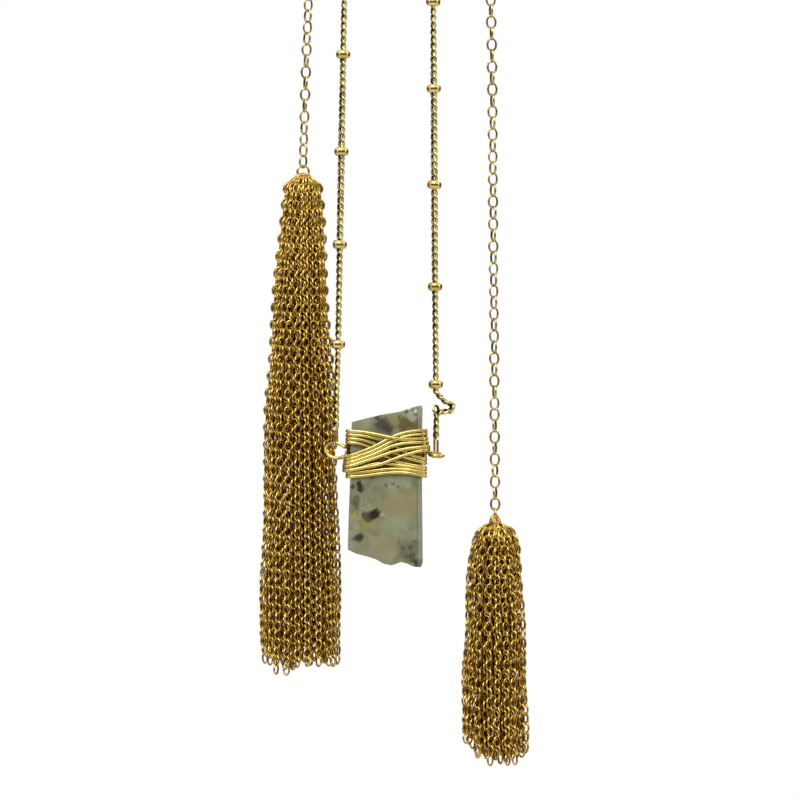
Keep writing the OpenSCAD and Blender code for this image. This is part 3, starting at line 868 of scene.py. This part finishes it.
# %% Courses of the turns
STONE_LEFT, STONE_WIDE, STONE_THICK = -7.98, 14.5, 7.4
WRAP_WIRE, WRAP_PLAY = 0.55, 0.2  # as the solids have them
WRAP_LOOK, EYE_LOOK = 0.7, 0.66  # thickness as the photo shows it
LAYER_STEP = 0.6
UNDER_TURNS = [
    ([4.22, 4.2, 4.06, 3.77, 3.41, 3, 2.69, 2.67, 2.76, 2.79],
     [0, 0, 0.1, 0.7, 1.3, 1.6, 1.5, 1.1, 0.7, 0.4]),
    ([3.5, 3.48, 3.33, 3.01, 2.49, 1.67, 0.64, -0.26, -0.85, -1.22],
     [0] * 10),
    ([2.79, 2.75, 2.51, 1.97, 1.2, 0.31, -0.49, -1.06, -1.55, -1.98],
     [0] * 10),
    ([2.06, 1.99, 1.67, 0.92, -0.14, -1.16, -1.84, -2.24, -2.54, -2.78],
     [0] * 10),
    ([-3.03, -2.93, -2.6, -2.14, -1.9, -2.11, -2.39, -2.6, -2.95, -3.16],
     [0] * 10),
    ([-3.78, -3.75, -3.61, -3.39, -3.17, -3.02, -3.06, -3.25, -3.57, -3.8],
     [0] * 10),
    ([-4.52, -4.48, -4.36, -4.14, -3.9, -3.73, -3.69, -3.87, -4.22, -4.42],
     [0] * 10),
]
OVER_TURNS = [
    ([-0.67, -0.34, 0.32, 1.04, 1.99, 3, 3.73, 4.12, 4.32, 4.33],
     [0.2, 0.3, 0.7, 1, 1, 0.9, 0.7, 0.4, 0.2, 0.1]),
    ([-1.34, -1.02, -0.37, 0.31, 1.18, 2.14, 2.94, 3.37, 3.57, 3.6],
     [0.4, 0.5, 0.8, 1, 1, 0.9, 0.7, 0.4, 0.2, 0.1]),
    ([-1.98, -1.68, -1.08, -0.42, 0.42, 1.26, 1.82, 2, 2.06, 2.06],
     [0.6, 0.7, 0.9, 1, 1, 1, 0.9, 0.8, 0.6, 0.6]),
    ([-2.63, -2.34, -1.75, -1.15, -0.47, 0.16, 0.63, 0.96, 1.13, 1.21],
     [0.9, 0.9, 1, 1, 1, 1, 1, 1, 1, 1]),
    ([-3.38, -3.18, -2.81, -2.5, -2.06, -1.36, -0.64, -0.06, 0.42, 0.62],
     [1] * 10),
]
WRAP_INSET = 0.03  # how much narrower the stone is on the left there, as a share
wrap_off = WRAP_PLAY + WRAP_WIRE / 2
wrap_left = STONE_LEFT + WRAP_INSET * STONE_WIDE - wrap_off
wrap_right = STONE_LEFT + STONE_WIDE + wrap_off
wrap_deep = STONE_THICK / 2 + wrap_off
WRAP_CORNER, WRAP_BEND, WRAP_STEPS = 1.0, 1 / 3, 96
# The ten places as shares of a turn: round the left corner, across the front in seven equal
# steps, and round the right corner.
WRAP_PLACES = [0.0] + [1 / 12 + i / 42 for i in range(8)] + [1 / 3]
print(len(UNDER_TURNS) + len(OVER_TURNS), "turns of wire")


# %% [markdown]
# Seen from above, a turn is a rectangle with round corners, a little larger for each layer.
# Its height and its layer change smoothly from place to place, so the wire never kinks.

# %% Paths of the wires
def wrap_spot(u, layer):
    """Where a wire is, seen from above, after a share u of one turn."""
    half_wide = (wrap_right - wrap_left) / 2 - WRAP_CORNER
    half_deep = wrap_deep - WRAP_CORNER
    corner = WRAP_CORNER + layer * LAYER_STEP
    quarter = int(u * 4) % 4
    v = u * 4 - int(u * 4)
    phase, run = min(1, v / WRAP_BEND), max(0, (v - WRAP_BEND) / (1 - WRAP_BEND))
    angle = math.radians(180 + 90 * quarter + 90 * phase)
    corners = [
        Vector((across * half_wide, deep * half_deep))
        for across, deep in ((-1, -1), (1, -1), (1, 1), (-1, 1))
    ]
    here, there = corners[quarter], corners[(quarter + 1) % 4]
    spot = here + (there - here) * run + corner * Vector((math.cos(angle), math.sin(angle)))
    return spot.x + (wrap_left + wrap_right) / 2, spot.y


def eased(places, values, u):
    """A smooth curve through the values at the places."""
    i = 0
    while i < len(places) - 2 and places[i + 1] < u:
        i += 1
    slopes = []
    for k in (i, i + 1):
        a, b = max(k - 1, 0), min(k + 1, len(places) - 1)
        slopes.append((values[b] - values[a]) / (places[b] - places[a]))
    gap = places[i + 1] - places[i]
    t = (u - places[i]) / gap
    return (
        values[i] * (1 + 2 * t) * (1 - t) ** 2 + values[i + 1] * t * t * (3 - 2 * t)
        + gap * (slopes[0] * t * (1 - t) ** 2 - slopes[1] * t * t * (1 - t))
    )


def wrap_points(turns, start, stop):
    """Points along some turns, from a share of the first one to a share of the last."""
    points = []
    places = WRAP_PLACES + [1.0]
    for i, (heights, layers) in enumerate(turns):
        following = turns[min(i + 1, len(turns) - 1)]
        first = round(start * WRAP_STEPS) if i == 0 else 0
        last = round(stop * WRAP_STEPS) if i == len(turns) - 1 else WRAP_STEPS - 1
        for k in range(first, last + 1):
            u = k / WRAP_STEPS
            x, y = wrap_spot(u % 1, eased(places, layers + [following[1][0]], u))
            z = HOLD_RIGHT.z + eased(places, heights + [following[0][0]], u)
            points.append(Vector((x, y, z)))
    return points


# %% [markdown]
# The eyes are arcs round the line through both holds, which the stone swings about. The
# left one leans forward and down, and the right one lies nearly flat. Its front half is
# hammered thicker, and its back half stays thin, so the ring in it keeps its play.

# %% Eyes and wires
LEFT_EYE, LEFT_EYE_DIP = 2.0, math.radians(44)  # radius, and how it is tilted
RIGHT_EYE, RIGHT_EYE_DIP = 1.35, math.radians(12)
RIGHT_EYE_BEGIN, HAMMERED = 150, 0.4
axis = (HOLD_RIGHT - HOLD_LEFT).normalized()


def eye_arc(centre, out, radius, begin, end):
    """Points each ten degrees, round an eye whose outer side lies along out."""
    step = 10 if end > begin else -10
    return [
        centre + radius * (math.cos(math.radians(a)) * axis + math.sin(math.radians(a)) * out)
        for a in range(begin, end, step)
    ]


left_out = Vector((0, -math.sin(LEFT_EYE_DIP), -math.cos(LEFT_EYE_DIP)))
left_eye = [Vector((-7.6, 1.2, -227.7)), Vector((-8.0, 0.4, -227.9))]
left_eye += eye_arc(HOLD_LEFT + LEFT_EYE * left_out, left_out, LEFT_EYE, -30, -311)
right_out = Vector((0, -math.cos(RIGHT_EYE_DIP), -math.sin(RIGHT_EYE_DIP)))
right_eye = eye_arc(
    HOLD_RIGHT + RIGHT_EYE * right_out, right_out, RIGHT_EYE, RIGHT_EYE_BEGIN, -131
)
right_swell = [
    HAMMERED * max(0, math.sin(math.radians(RIGHT_EYE_BEGIN - 10 * i)))
    for i in range(len(right_eye))
]
over_turns = wrap_points(OVER_TURNS, 0.05, 0.3)
under_wire = round_wire("under_wire", wrap_points(UNDER_TURNS, 0, 0.7), WRAP_LOOK)
thin = EYE_LOOK / WRAP_LOOK
swell = [thin] * len(left_eye) + [1] * len(over_turns) + [thin + more for more in right_swell]
over_wire = round_wire("over_wire", left_eye + over_turns + right_eye, WRAP_LOOK, swell=swell)
finish_piece(under_wire, "pendant", "gold_wire", wire_gold, "wire_wrap")
finish_piece(over_wire, "pendant", "gold_wire", wire_gold)

# %% [markdown]
# ## Stone
#
# The stone is a polished slab, cloudy green-grey, with brown stain and dark specks. Its
# outline is sawn by hand: nearly straight down the right, slanting at the top and wavy
# below. A flat disc is given that outline and extruded to the slab's thickness.

# %% Stone outline
SLAB_OUTLINE = [  # x, z, width of the facet there, in millimetres
    (-7.12, -223.65, 0.5), (-4.4, -222.95, 0.5), (-1.73, -222.31, 0.5), (2.12, -221.65, 0.5),
    (4.5, -220.83, 0.6), (6.2, -220.45, 0.8), (6.46, -220.96, 1.0), (6.38, -225.0, 1.0),
    (6.35, -234.8, 1.0), (6.44, -244.4, 1.0), (6.5, -250.5, 0.9), (6.12, -251.5, 0.6),
    (4.77, -251.4, 0.5), (3.42, -250.77, 0.4), (2.35, -250.5, 0.4), (0.44, -251.15, 0.4),
    (-1.17, -250.77, 0.4), (-2.52, -249.96, 0.5), (-4.4, -249.4, 0.5), (-6.29, -248.88, 0.5),
    (-7.9, -248.15, 0.5), (-7.75, -242.5, 0.45), (-7.6, -238.46, 0.45), (-7.45, -234.42, 0.45),
    (-7.4, -229.04, 0.45),
]
STONE_FRONT, STONE_BACK = -STONE_THICK / 2, STONE_THICK / 2
clear_selection()
bpy.ops.mesh.primitive_circle_add(
    vertices=len(SLAB_OUTLINE), radius=STONE_WIDE / 2 * MM, fill_type="NGON",
    rotation=(math.pi / 2, 0, 0),
)
stone = bpy.context.object
stone.name = "stone_slab"
place_into_mesh(stone)
bpy.ops.object.mode_set(mode="EDIT")
form = bmesh.from_edit_mesh(stone.data)
for vertex, (x, z, _) in zip(form.verts, SLAB_OUTLINE):
    vertex.co = (x * MM, STONE_FRONT * MM, z * MM)
bmesh.update_edit_mesh(stone.data)
bpy.ops.mesh.select_all(action="SELECT")
bpy.ops.mesh.extrude_region_move(
    TRANSFORM_OT_translate={"value": (0, STONE_THICK * MM, 0)}
)
bpy.ops.mesh.select_all(action="SELECT")
bpy.ops.mesh.normals_make_consistent(inside=False)
bpy.ops.object.mode_set(mode="OBJECT")
print("slab has", len(stone.data.polygons), "faces before its facets")

# %% [markdown]
# A bevel by weight cuts a facet round the front and the back, widest down the right side,
# and a second, small one rubs off all the edges, as polishing does.

# %% Facets and rubbed edges
BACK_FACETS = 0.8  # as a share of the front's
RUBBED = 0.14
weights = stone.data.attributes.new("bevel_weight_edge", "FLOAT", "EDGE")
facet_at = {(round(x, 2), round(z, 2)): facet for x, z, facet in SLAB_OUTLINE}
for index, edge in enumerate(stone.data.edges):
    ends = [stone.data.vertices[i].co / MM for i in edge.vertices]
    if abs(ends[0].y - ends[1].y) < 0.1:
        share = 1 if ends[0].y < 0 else BACK_FACETS
        facets = [facet_at[(round(end.x, 2), round(end.z, 2))] for end in ends]
        weights.data[index].value = share * sum(facets) / 2
cut = stone.modifiers.new("facets", "BEVEL")
cut.width = 1.0 * MM  # so an edge's weight is its width in millimetres
cut.segments = 1
cut.limit_method = "WEIGHT"
rub = stone.modifiers.new("rubbed edges", "BEVEL")
rub.width = RUBBED * MM
rub.segments = 2
rub.limit_method = "ANGLE"
rub.angle_limit = math.radians(20)
apply_modifiers(stone)
pick(stone)
bpy.ops.object.shade_smooth_by_angle(angle=math.radians(30))
print("stone has", len(stone.data.polygons), "faces")


# %% [markdown]
# The colour of the stone is built from clouds of different sizes over a green-grey body: a
# warmer khaki, darker patches, and a brown stain in the top right, with two small painted
# glints at its corner. Dark specks sit where the slab has them. Each speck is a soft ball
# round a point, with its edge broken up by noise, so it shows where the slab's surface cuts it.

# %% Node groups for clouds and specks
def value_noise(tree, place, scale, detail, distortion, position):
    noise = node(
        tree, "ShaderNodeTexNoise", position,
        {"Scale": scale, "Detail": detail, "Distortion": distortion},
    )
    tree.links.new(place, noise.inputs["Vector"])
    return noise


cloud_group = named_group(
    "stone cloud", "ShaderNodeTree",
    {"Scale": "Float", "Begin": "Float", "Full": "Float"}, {"Mask": "Float"},
)
cloud_in = node(cloud_group, "NodeGroupInput", (-700, 0))
cloud_place = node(cloud_group, "ShaderNodeTexCoord", (-700, -200))
cloud_noise = value_noise(cloud_group, cloud_place.outputs["Object"], 100, 5, 0.8, (-450, 0))
cloud_range = node(
    cloud_group, "ShaderNodeMapRange", (-200, 0), interpolation_type="SMOOTHSTEP"
)
cloud_out = node(cloud_group, "NodeGroupOutput", (50, 0))
join(
    cloud_group,
    (cloud_in.outputs["Scale"], cloud_noise.inputs["Scale"]),
    (cloud_noise.outputs["Fac"], cloud_range.inputs["Value"]),
    (cloud_in.outputs["Begin"], cloud_range.inputs["From Min"]),
    (cloud_in.outputs["Full"], cloud_range.inputs["From Max"]),
    (cloud_range.outputs["Result"], cloud_out.inputs["Mask"]),
)

SPECK_SHIFT = 1.8  # how far the noise may move a speck's edge, in radii
SPECK_GRAIN = 0.75  # how fine that noise is, as waves to a radius
SPECK_RIM, SPECK_CORE = 1.15, 0.45  # where a speck begins and where it is full, in radii
speck_group = named_group(
    "stone speck", "ShaderNodeTree", {"Centre": "Vector", "Radius": "Float"}, {"Mask": "Float"}
)
speck_in = node(speck_group, "NodeGroupInput", (-900, 0))
speck_place = node(speck_group, "ShaderNodeTexCoord", (-1100, -200))
speck_noise = value_noise(speck_group, speck_place.outputs["Object"], 900, 3, 0, (-900, -300))
speck_grain = node(
    speck_group, "ShaderNodeMath", (-1100, -450), {0: SPECK_GRAIN}, operation="DIVIDE"
)
speck_shift = node(
    speck_group, "ShaderNodeMath", (-900, -550), {1: SPECK_SHIFT}, operation="MULTIPLY"
)
broken = node(speck_group, "ShaderNodeVectorMath", (-700, -250), operation="MULTIPLY_ADD")
away = node(speck_group, "ShaderNodeVectorMath", (-500, -100), operation="DISTANCE")
speck_share = node(speck_group, "ShaderNodeMath", (-300, -100), operation="DIVIDE")
speck_range = node(
    speck_group, "ShaderNodeMapRange", (-100, -100),
    {"From Min": SPECK_RIM, "From Max": SPECK_CORE}, interpolation_type="SMOOTHSTEP",
)
speck_out = node(speck_group, "NodeGroupOutput", (150, 0))
join(
    speck_group,
    (speck_in.outputs["Radius"], speck_grain.inputs[1]),
    (speck_grain.outputs[0], speck_noise.inputs["Scale"]),
    (speck_in.outputs["Radius"], speck_shift.inputs[0]),
    (speck_noise.outputs["Color"], broken.inputs[0]),
    (speck_shift.outputs[0], broken.inputs[1]),
    (speck_place.outputs["Object"], broken.inputs[2]),
    (broken.outputs["Vector"], away.inputs[0]),
    (speck_in.outputs["Centre"], away.inputs[1]),
    (away.outputs["Value"], speck_share.inputs[0]),
    (speck_in.outputs["Radius"], speck_share.inputs[1]),
    (speck_share.outputs["Value"], speck_range.inputs["Value"]),
    (speck_range.outputs["Result"], speck_out.inputs["Mask"]),
)
print("groups for the stone:", cloud_group.name, "and", speck_group.name)


# %% [markdown]
# The finish lays these masks over each other, one colour at a time: clouds, then patches
# of paler, browner or darker stone and two painted glints, then the specks. A thin line of
# painted shade and a paler strip of painted reflection mark the side facet. Constant values
# such as the polish are set on the shader itself.

# %% Patches and specks of the stone
FRONT_SPECKS = [  # x, z in millimetres, radius, how dark
    (-6.85, -235.95, 0.6, 0.8), (-5.6, -235.7, 0.7, 0.95), (-5.55, -236.6, 0.7, 0.9),
    (-6.4, -238.7, 1.1, 0.5), (-6.3, -239.7, 0.9, 0.4), (-3.1, -241.5, 0.95, 1.0),
    (-2.4, -241.1, 0.75, 0.95), (-4.5, -241.8, 0.95, 0.7), (-5.8, -245.95, 0.95, 0.9),
    (-0.6, -235.8, 0.35, 0.45), (0.75, -235.5, 0.36, 0.5), (1.7, -236.1, 0.35, 0.4),
    (2.7, -247.7, 0.5, 0.4), (4.5, -249.6, 0.8, 0.5), (3.3, -249.3, 0.5, 0.35),
    (5.8, -251.0, 1.1, 1.0), (4.9, -246.6, 0.5, 0.35), (4.1, -247.7, 0.5, 0.45),
    (-0.3, -224.8, 1.0, 0.75), (-1.5, -224.1, 0.9, 0.65), (-2.2, -222.9, 0.5, 0.7),
    (-0.9, -223.3, 0.6, 0.6), (2.0, -222.6, 0.4, 0.45), (3.3, -221.7, 0.4, 0.65),
    (4.5, -221.2, 0.4, 0.6), (5.1, -222.2, 0.45, 0.55),
]
BACK_SPECKS = [(-2.0, -240, 1.2, 0.6), (3.5, -246, 0.9, 0.5)]
PATCHES = [  # x, z in millimetres, radius, colour, strength
    (2.7, -224.1, 1.7, (0.10, 0.08, 0.012), 0.85),
    (4.9, -224.1, 1.8, (0.13, 0.10, 0.015), 0.85),
    (-0.8, -224.6, 3.2, (0.10, 0.095, 0.08), 0.65),
    (1.1, -223.5, 1.0, (0.27, 0.27, 0.09), 0.8),
    (-6.7, -241.6, 1.1, (0.36, 0.35, 0.11), 0.7),
    (-4.7, -243.2, 1.6, (0.33, 0.30, 0.10), 0.6),
    (-1.3, -248.1, 2.9, (0.35, 0.30, 0.20), 0.6),
    (2.2, -239.3, 3.6, (0.32, 0.29, 0.17), 0.6),
    (4.6, -222.3, 1.3, (0.46, 0.47, 0.44), 0.6),
    # Two painted glints: highlights on the top right corner.
    (4.2, -221.0, 0.6, (0.8, 0.82, 0.8), 0.8),
    (5.2, -221.6, 0.45, (0.8, 0.82, 0.8), 0.8),
    (0.6, -243.4, 3.2, (0.31, 0.38, 0.25), 0.65),
    (-6.4, -243.6, 0.9, (0.44, 0.43, 0.36), 0.45),
    (-2.6, -237.6, 2.2, (0.22, 0.26, 0.15), 0.5),
    (-1.3, -241.4, 0.6, (0.52, 0.48, 0.45), 0.5),
    (4.0, -248.6, 2.3, (0.12, 0.14, 0.09), 0.55),
    (5.3, -247.0, 1.1, (0.15, 0.17, 0.12), 0.5),
]
CLOUDS = [  # size, where the cloud begins and is full, colour, strength
    (130, 0.38, 0.72, (0.28, 0.255, 0.15), 0.65),
    (380, 0.5, 0.78, (0.09, 0.11, 0.06), 0.7),
    (300, 0.55, 0.85, (0.48, 0.47, 0.42), 0.6),
]
SPECK_GROWTH, SPECK_COLOUR = 1.2, (0.02, 0.018, 0.012)
# The painted shade line and the painted reflection of the side facet start at FACET_LINE.
FACET_LINE, FACET_SOFT, LINE_HALF = 5.42, 0.15, 0.1  # x where the side facet starts
print(len(FRONT_SPECKS) + len(BACK_SPECKS), "specks and", len(PATCHES), "patches")


# %% Helpers for the stone's finish
def lay_over(tree, below, colour, mask, strength, place):
    """Mixes a colour over what is below, where the mask is."""
    scaled = node(
        tree, "ShaderNodeMath", (place[0] - 200, place[1] - 150), {1: strength},
        operation="MULTIPLY",
    )
    mix = node(tree, "ShaderNodeMix", place, {7: (*colour, 1)}, data_type="RGBA")
    join(
        tree, (mask, scaled.inputs[0]), (scaled.outputs[0], mix.inputs["Factor"]),
        (below, mix.inputs[6]),
    )
    return mix.outputs[2]


def cloud_mask_at(tree, scale, begin, full, place):
    values = {"Scale": scale, "Begin": begin, "Full": full}
    return node(tree, "ShaderNodeGroup", place, values, node_tree=cloud_group).outputs["Mask"]


def speck_mask_at(tree, x, y, z, radius, place):
    middle = SPECK_SHIFT / 2 * radius  # the noise shifts a speck to one side by this much
    values = {
        "Centre": ((x + middle) * MM, (y + middle) * MM, (z + middle) * MM),
        "Radius": radius * MM,
    }
    return node(tree, "ShaderNodeGroup", place, values, node_tree=speck_group).outputs["Mask"]


# %% Stone finish
def stone_finish():
    material = bpy.data.materials.new("cloudy green stone")
    material.use_nodes = True
    material.diffuse_color = (0.3, 0.32, 0.23, 1)
    tree = material.node_tree
    shader = tree.nodes["Principled BSDF"]
    for name, value in (
        ("Roughness", 0.28), ("Coat Weight", 0.35), ("Coat Roughness", 0.08),
        ("Subsurface Weight", 0.1), ("Subsurface Radius", (1.0, 1.0, 0.7)),
        ("Subsurface Scale", 0.6 * MM),
    ):
        shader.inputs[name].default_value = value
    body = node(
        tree, "ShaderNodeMix", (-2400, 200),
        {6: (0.23, 0.265, 0.175, 1), 7: (0.34, 0.37, 0.28, 1)}, data_type="RGBA",
    )
    tree.links.new(cloud_mask_at(tree, 260, 0.35, 0.65, (-2600, 200)), body.inputs["Factor"])
    colour = body.outputs[2]
    for index, (size, begin, full, cloud_colour, strength) in enumerate(CLOUDS):
        left = -2400 + 300 * index
        mask = cloud_mask_at(tree, size, begin, full, (left, -150))
        colour = lay_over(tree, colour, cloud_colour, mask, strength, (left + 300, 100))
    for index, (x, z, radius, patch_colour, strength) in enumerate(PATCHES):
        low = -160 * index
        mask = speck_mask_at(tree, x, STONE_FRONT, z, radius, (-1500, low - 300))
        colour = lay_over(tree, colour, patch_colour, mask, strength, (-1200, low + 100))
    specks = [(STONE_FRONT, *speck) for speck in FRONT_SPECKS]
    specks += [(STONE_BACK, *speck) for speck in BACK_SPECKS]
    for index, (y, x, z, radius, darkness) in enumerate(specks):
        low = -160 * index
        mask = speck_mask_at(tree, x, y, z, radius * SPECK_GROWTH, (-900, low - 300))
        colour = lay_over(tree, colour, SPECK_COLOUR, mask, darkness, (-600, low + 100))
    where = node(tree, "ShaderNodeTexCoord", (-1100, 900))
    across = node(tree, "ShaderNodeSeparateXYZ", (-900, 900))
    # Painted reflection: the side facet is paler.
    facet = node(
        tree, "ShaderNodeMapRange", (-700, 900),
        {"From Min": FACET_LINE * MM, "From Max": (FACET_LINE + FACET_SOFT) * MM},
        interpolation_type="SMOOTHSTEP",
    )
    colour = lay_over(tree, colour, (0.31, 0.34, 0.30), facet.outputs["Result"], 0.5, (-450, 900))
    # Painted shade: a thin dark line where the side facet starts.
    line = node(
        tree, "ShaderNodeMath", (-700, 1100), {1: FACET_LINE * MM, 2: LINE_HALF * MM},
        operation="COMPARE",
    )
    colour = lay_over(tree, colour, (0.09, 0.10, 0.07), line.outputs[0], 0.6, (-300, 900))
    ripple = value_noise(tree, where.outputs["Object"], 500, 3, 0, (-700, 500))
    bump = node(
        tree, "ShaderNodeBump", (-400, 500), {"Strength": 0.25, "Distance": 0.05 * MM}
    )
    join(
        tree,
        (where.outputs["Object"], across.inputs[0]),
        (across.outputs["X"], facet.inputs["Value"]),
        (across.outputs["X"], line.inputs[0]),
        (colour, shader.inputs["Base Color"]),
        (ripple.outputs["Fac"], bump.inputs["Height"]),
        (bump.outputs["Normal"], shader.inputs["Normal"]),
    )
    print("stone finish has", len(tree.nodes), "nodes")
    return material


finish_piece(stone, "pendant", "stone", stone_finish(), "stone")

# %% [markdown]
# ## Clasp and rings
#
# The clasp and the jump rings keep their solids and only get their finish.

# %% Finish of the solids that stay
for finish, names in (
    (clasp_gold, ["clasp", "clasp_ring_left", "clasp_ring_right"]),
    (bead_gold, ["stone_ring_left", "stone_ring_right", "tassel_left_ring", "tassel_right_ring"]),
):
    for name in names:
        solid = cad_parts[name]
        solid.data.materials.clear()
        solid.data.materials.append(finish)
    print(finish.name, "on", ", ".join(names))

# %% [markdown]
# ## Floor, sky and light
#
# The real necklace was shown before plain white, under light from above. Metal in an all
# white room looks flat, so only the camera sees white. Everything else sees a room with a
# bright ceiling, a dark horizon and a dim lower half, which gives each wire a cream top
# and an olive underside. A plain pale floor lies well under the necklace.

# %% Floor
FLOOR_HEIGHT, FLOOR_RADIUS = -0.6, 1.2
clear_selection()
bpy.ops.mesh.primitive_circle_add(
    vertices=64, radius=FLOOR_RADIUS, fill_type="NGON", location=(0, 0, FLOOR_HEIGHT)
)
floor = bpy.context.object
floor.name = "pale_floor"
place_into_mesh(floor)
floor_paint = bpy.data.materials.new("pale floor")
floor_paint.use_nodes = True
paint = floor_paint.node_tree.nodes["Principled BSDF"]
paint.inputs["Base Color"].default_value = (0.62, 0.60, 0.57, 1)
paint.inputs["Roughness"].default_value = 0.8
floor.data.materials.append(floor_paint)
print("floor at", FLOOR_HEIGHT, "m")

# %% Sky
ROOM_TONES = [  # height of the direction from straight down to straight up, colour
    (0.0, (0.04, 0.03, 0.015)), (0.3, (0.18, 0.15, 0.08)), (0.43, (0.16, 0.13, 0.07)),
    (0.49, (0.06, 0.05, 0.035)), (0.57, (0.07, 0.06, 0.045)), (0.68, (0.90, 0.85, 0.70)),
    (1.0, (1.0, 0.95, 0.84)),
]
sky = bpy.data.worlds.new("studio")
bpy.context.scene.world = sky
sky.use_nodes = True
sky_tree = sky.node_tree
sky_tree.nodes.clear()
ray = node(sky_tree, "ShaderNodeLightPath", (-600, 250))
direction = node(sky_tree, "ShaderNodeTexCoord", (-1200, 0))
parts = node(sky_tree, "ShaderNodeSeparateXYZ", (-1000, 0))
height = node(sky_tree, "ShaderNodeMapRange", (-800, 0), {"From Min": -1})
tones = node(sky_tree, "ShaderNodeValToRGB", (-600, 0))
ramp = tones.color_ramp
ramp.elements[0].position, ramp.elements[0].color = 0, (*ROOM_TONES[0][1], 1)
ramp.elements[1].position, ramp.elements[1].color = 1, (*ROOM_TONES[-1][1], 1)
for at, colour in ROOM_TONES[1:-1]:
    ramp.elements.new(at).color = (*colour, 1)
room = node(sky_tree, "ShaderNodeBackground", (-300, 0))
white_room = node(sky_tree, "ShaderNodeBackground", (-300, -150), {"Color": (1, 1, 1, 1)})
choose = node(sky_tree, "ShaderNodeMixShader", (-50, 0))
world_out = node(sky_tree, "ShaderNodeOutputWorld", (150, 0))
join(
    sky_tree,
    (direction.outputs["Generated"], parts.inputs[0]),
    (parts.outputs["Z"], height.inputs["Value"]),
    (height.outputs["Result"], tones.inputs["Fac"]),
    (tones.outputs["Color"], room.inputs["Color"]),
    (ray.outputs["Is Camera Ray"], choose.inputs[0]),
    (room.outputs[0], choose.inputs[1]),
    (white_room.outputs[0], choose.inputs[2]),
    (choose.outputs[0], world_out.inputs["Surface"]),
)
print("room with", len(ROOM_TONES), "tones from floor to ceiling")


# %% [markdown]
# Soft boxes stand round the necklace. The large one at the top front is the main light, and
# the others open up the sides, the underside and the back. The picture's tones are left as
# they are, without a film look.

# %% Soft boxes
def soft_box(name, place, aim, wide, high, brightness, colour=(1, 1, 1)):
    """A soft box whose face is this many times as bright as white paper."""
    lamp = bpy.data.lights.new(name, "AREA")
    lamp.shape = "RECTANGLE"
    lamp.size, lamp.size_y = wide, high
    lamp.energy = brightness * math.pi * wide * high
    lamp.color = colour
    box = bpy.data.objects.new(name, lamp)
    bpy.context.collection.objects.link(box)
    box.location = place
    box.rotation_euler = (Vector(aim) - Vector(place)).to_track_quat("-Z", "Y").to_euler()
    box.visible_camera = False
    print(f"{name}: {brightness} times paper white")


aim = (0, 0, -0.23)
soft_box("top front box", (-0.25, -0.75, 0.5), aim, 0.8, 0.5, 4.0, (1, 0.98, 0.97))
soft_box("left box", (-1.0, -0.45, -0.1), aim, 0.3, 0.8, 1.0, (1, 0.96, 0.88))
soft_box("right box", (1.05, -0.3, 0.0), aim, 0.35, 0.9, 1.3, (1, 0.97, 0.92))
soft_box("low front box", (0.15, -0.9, -0.72), aim, 0.7, 0.3, 0.5, (1, 0.95, 0.84))
soft_box("back box", (0.3, 1.0, 0.35), aim, 0.8, 0.6, 2.0)
bpy.context.scene.view_settings.view_transform = "Standard"
bpy.context.scene.view_settings.look = "None"
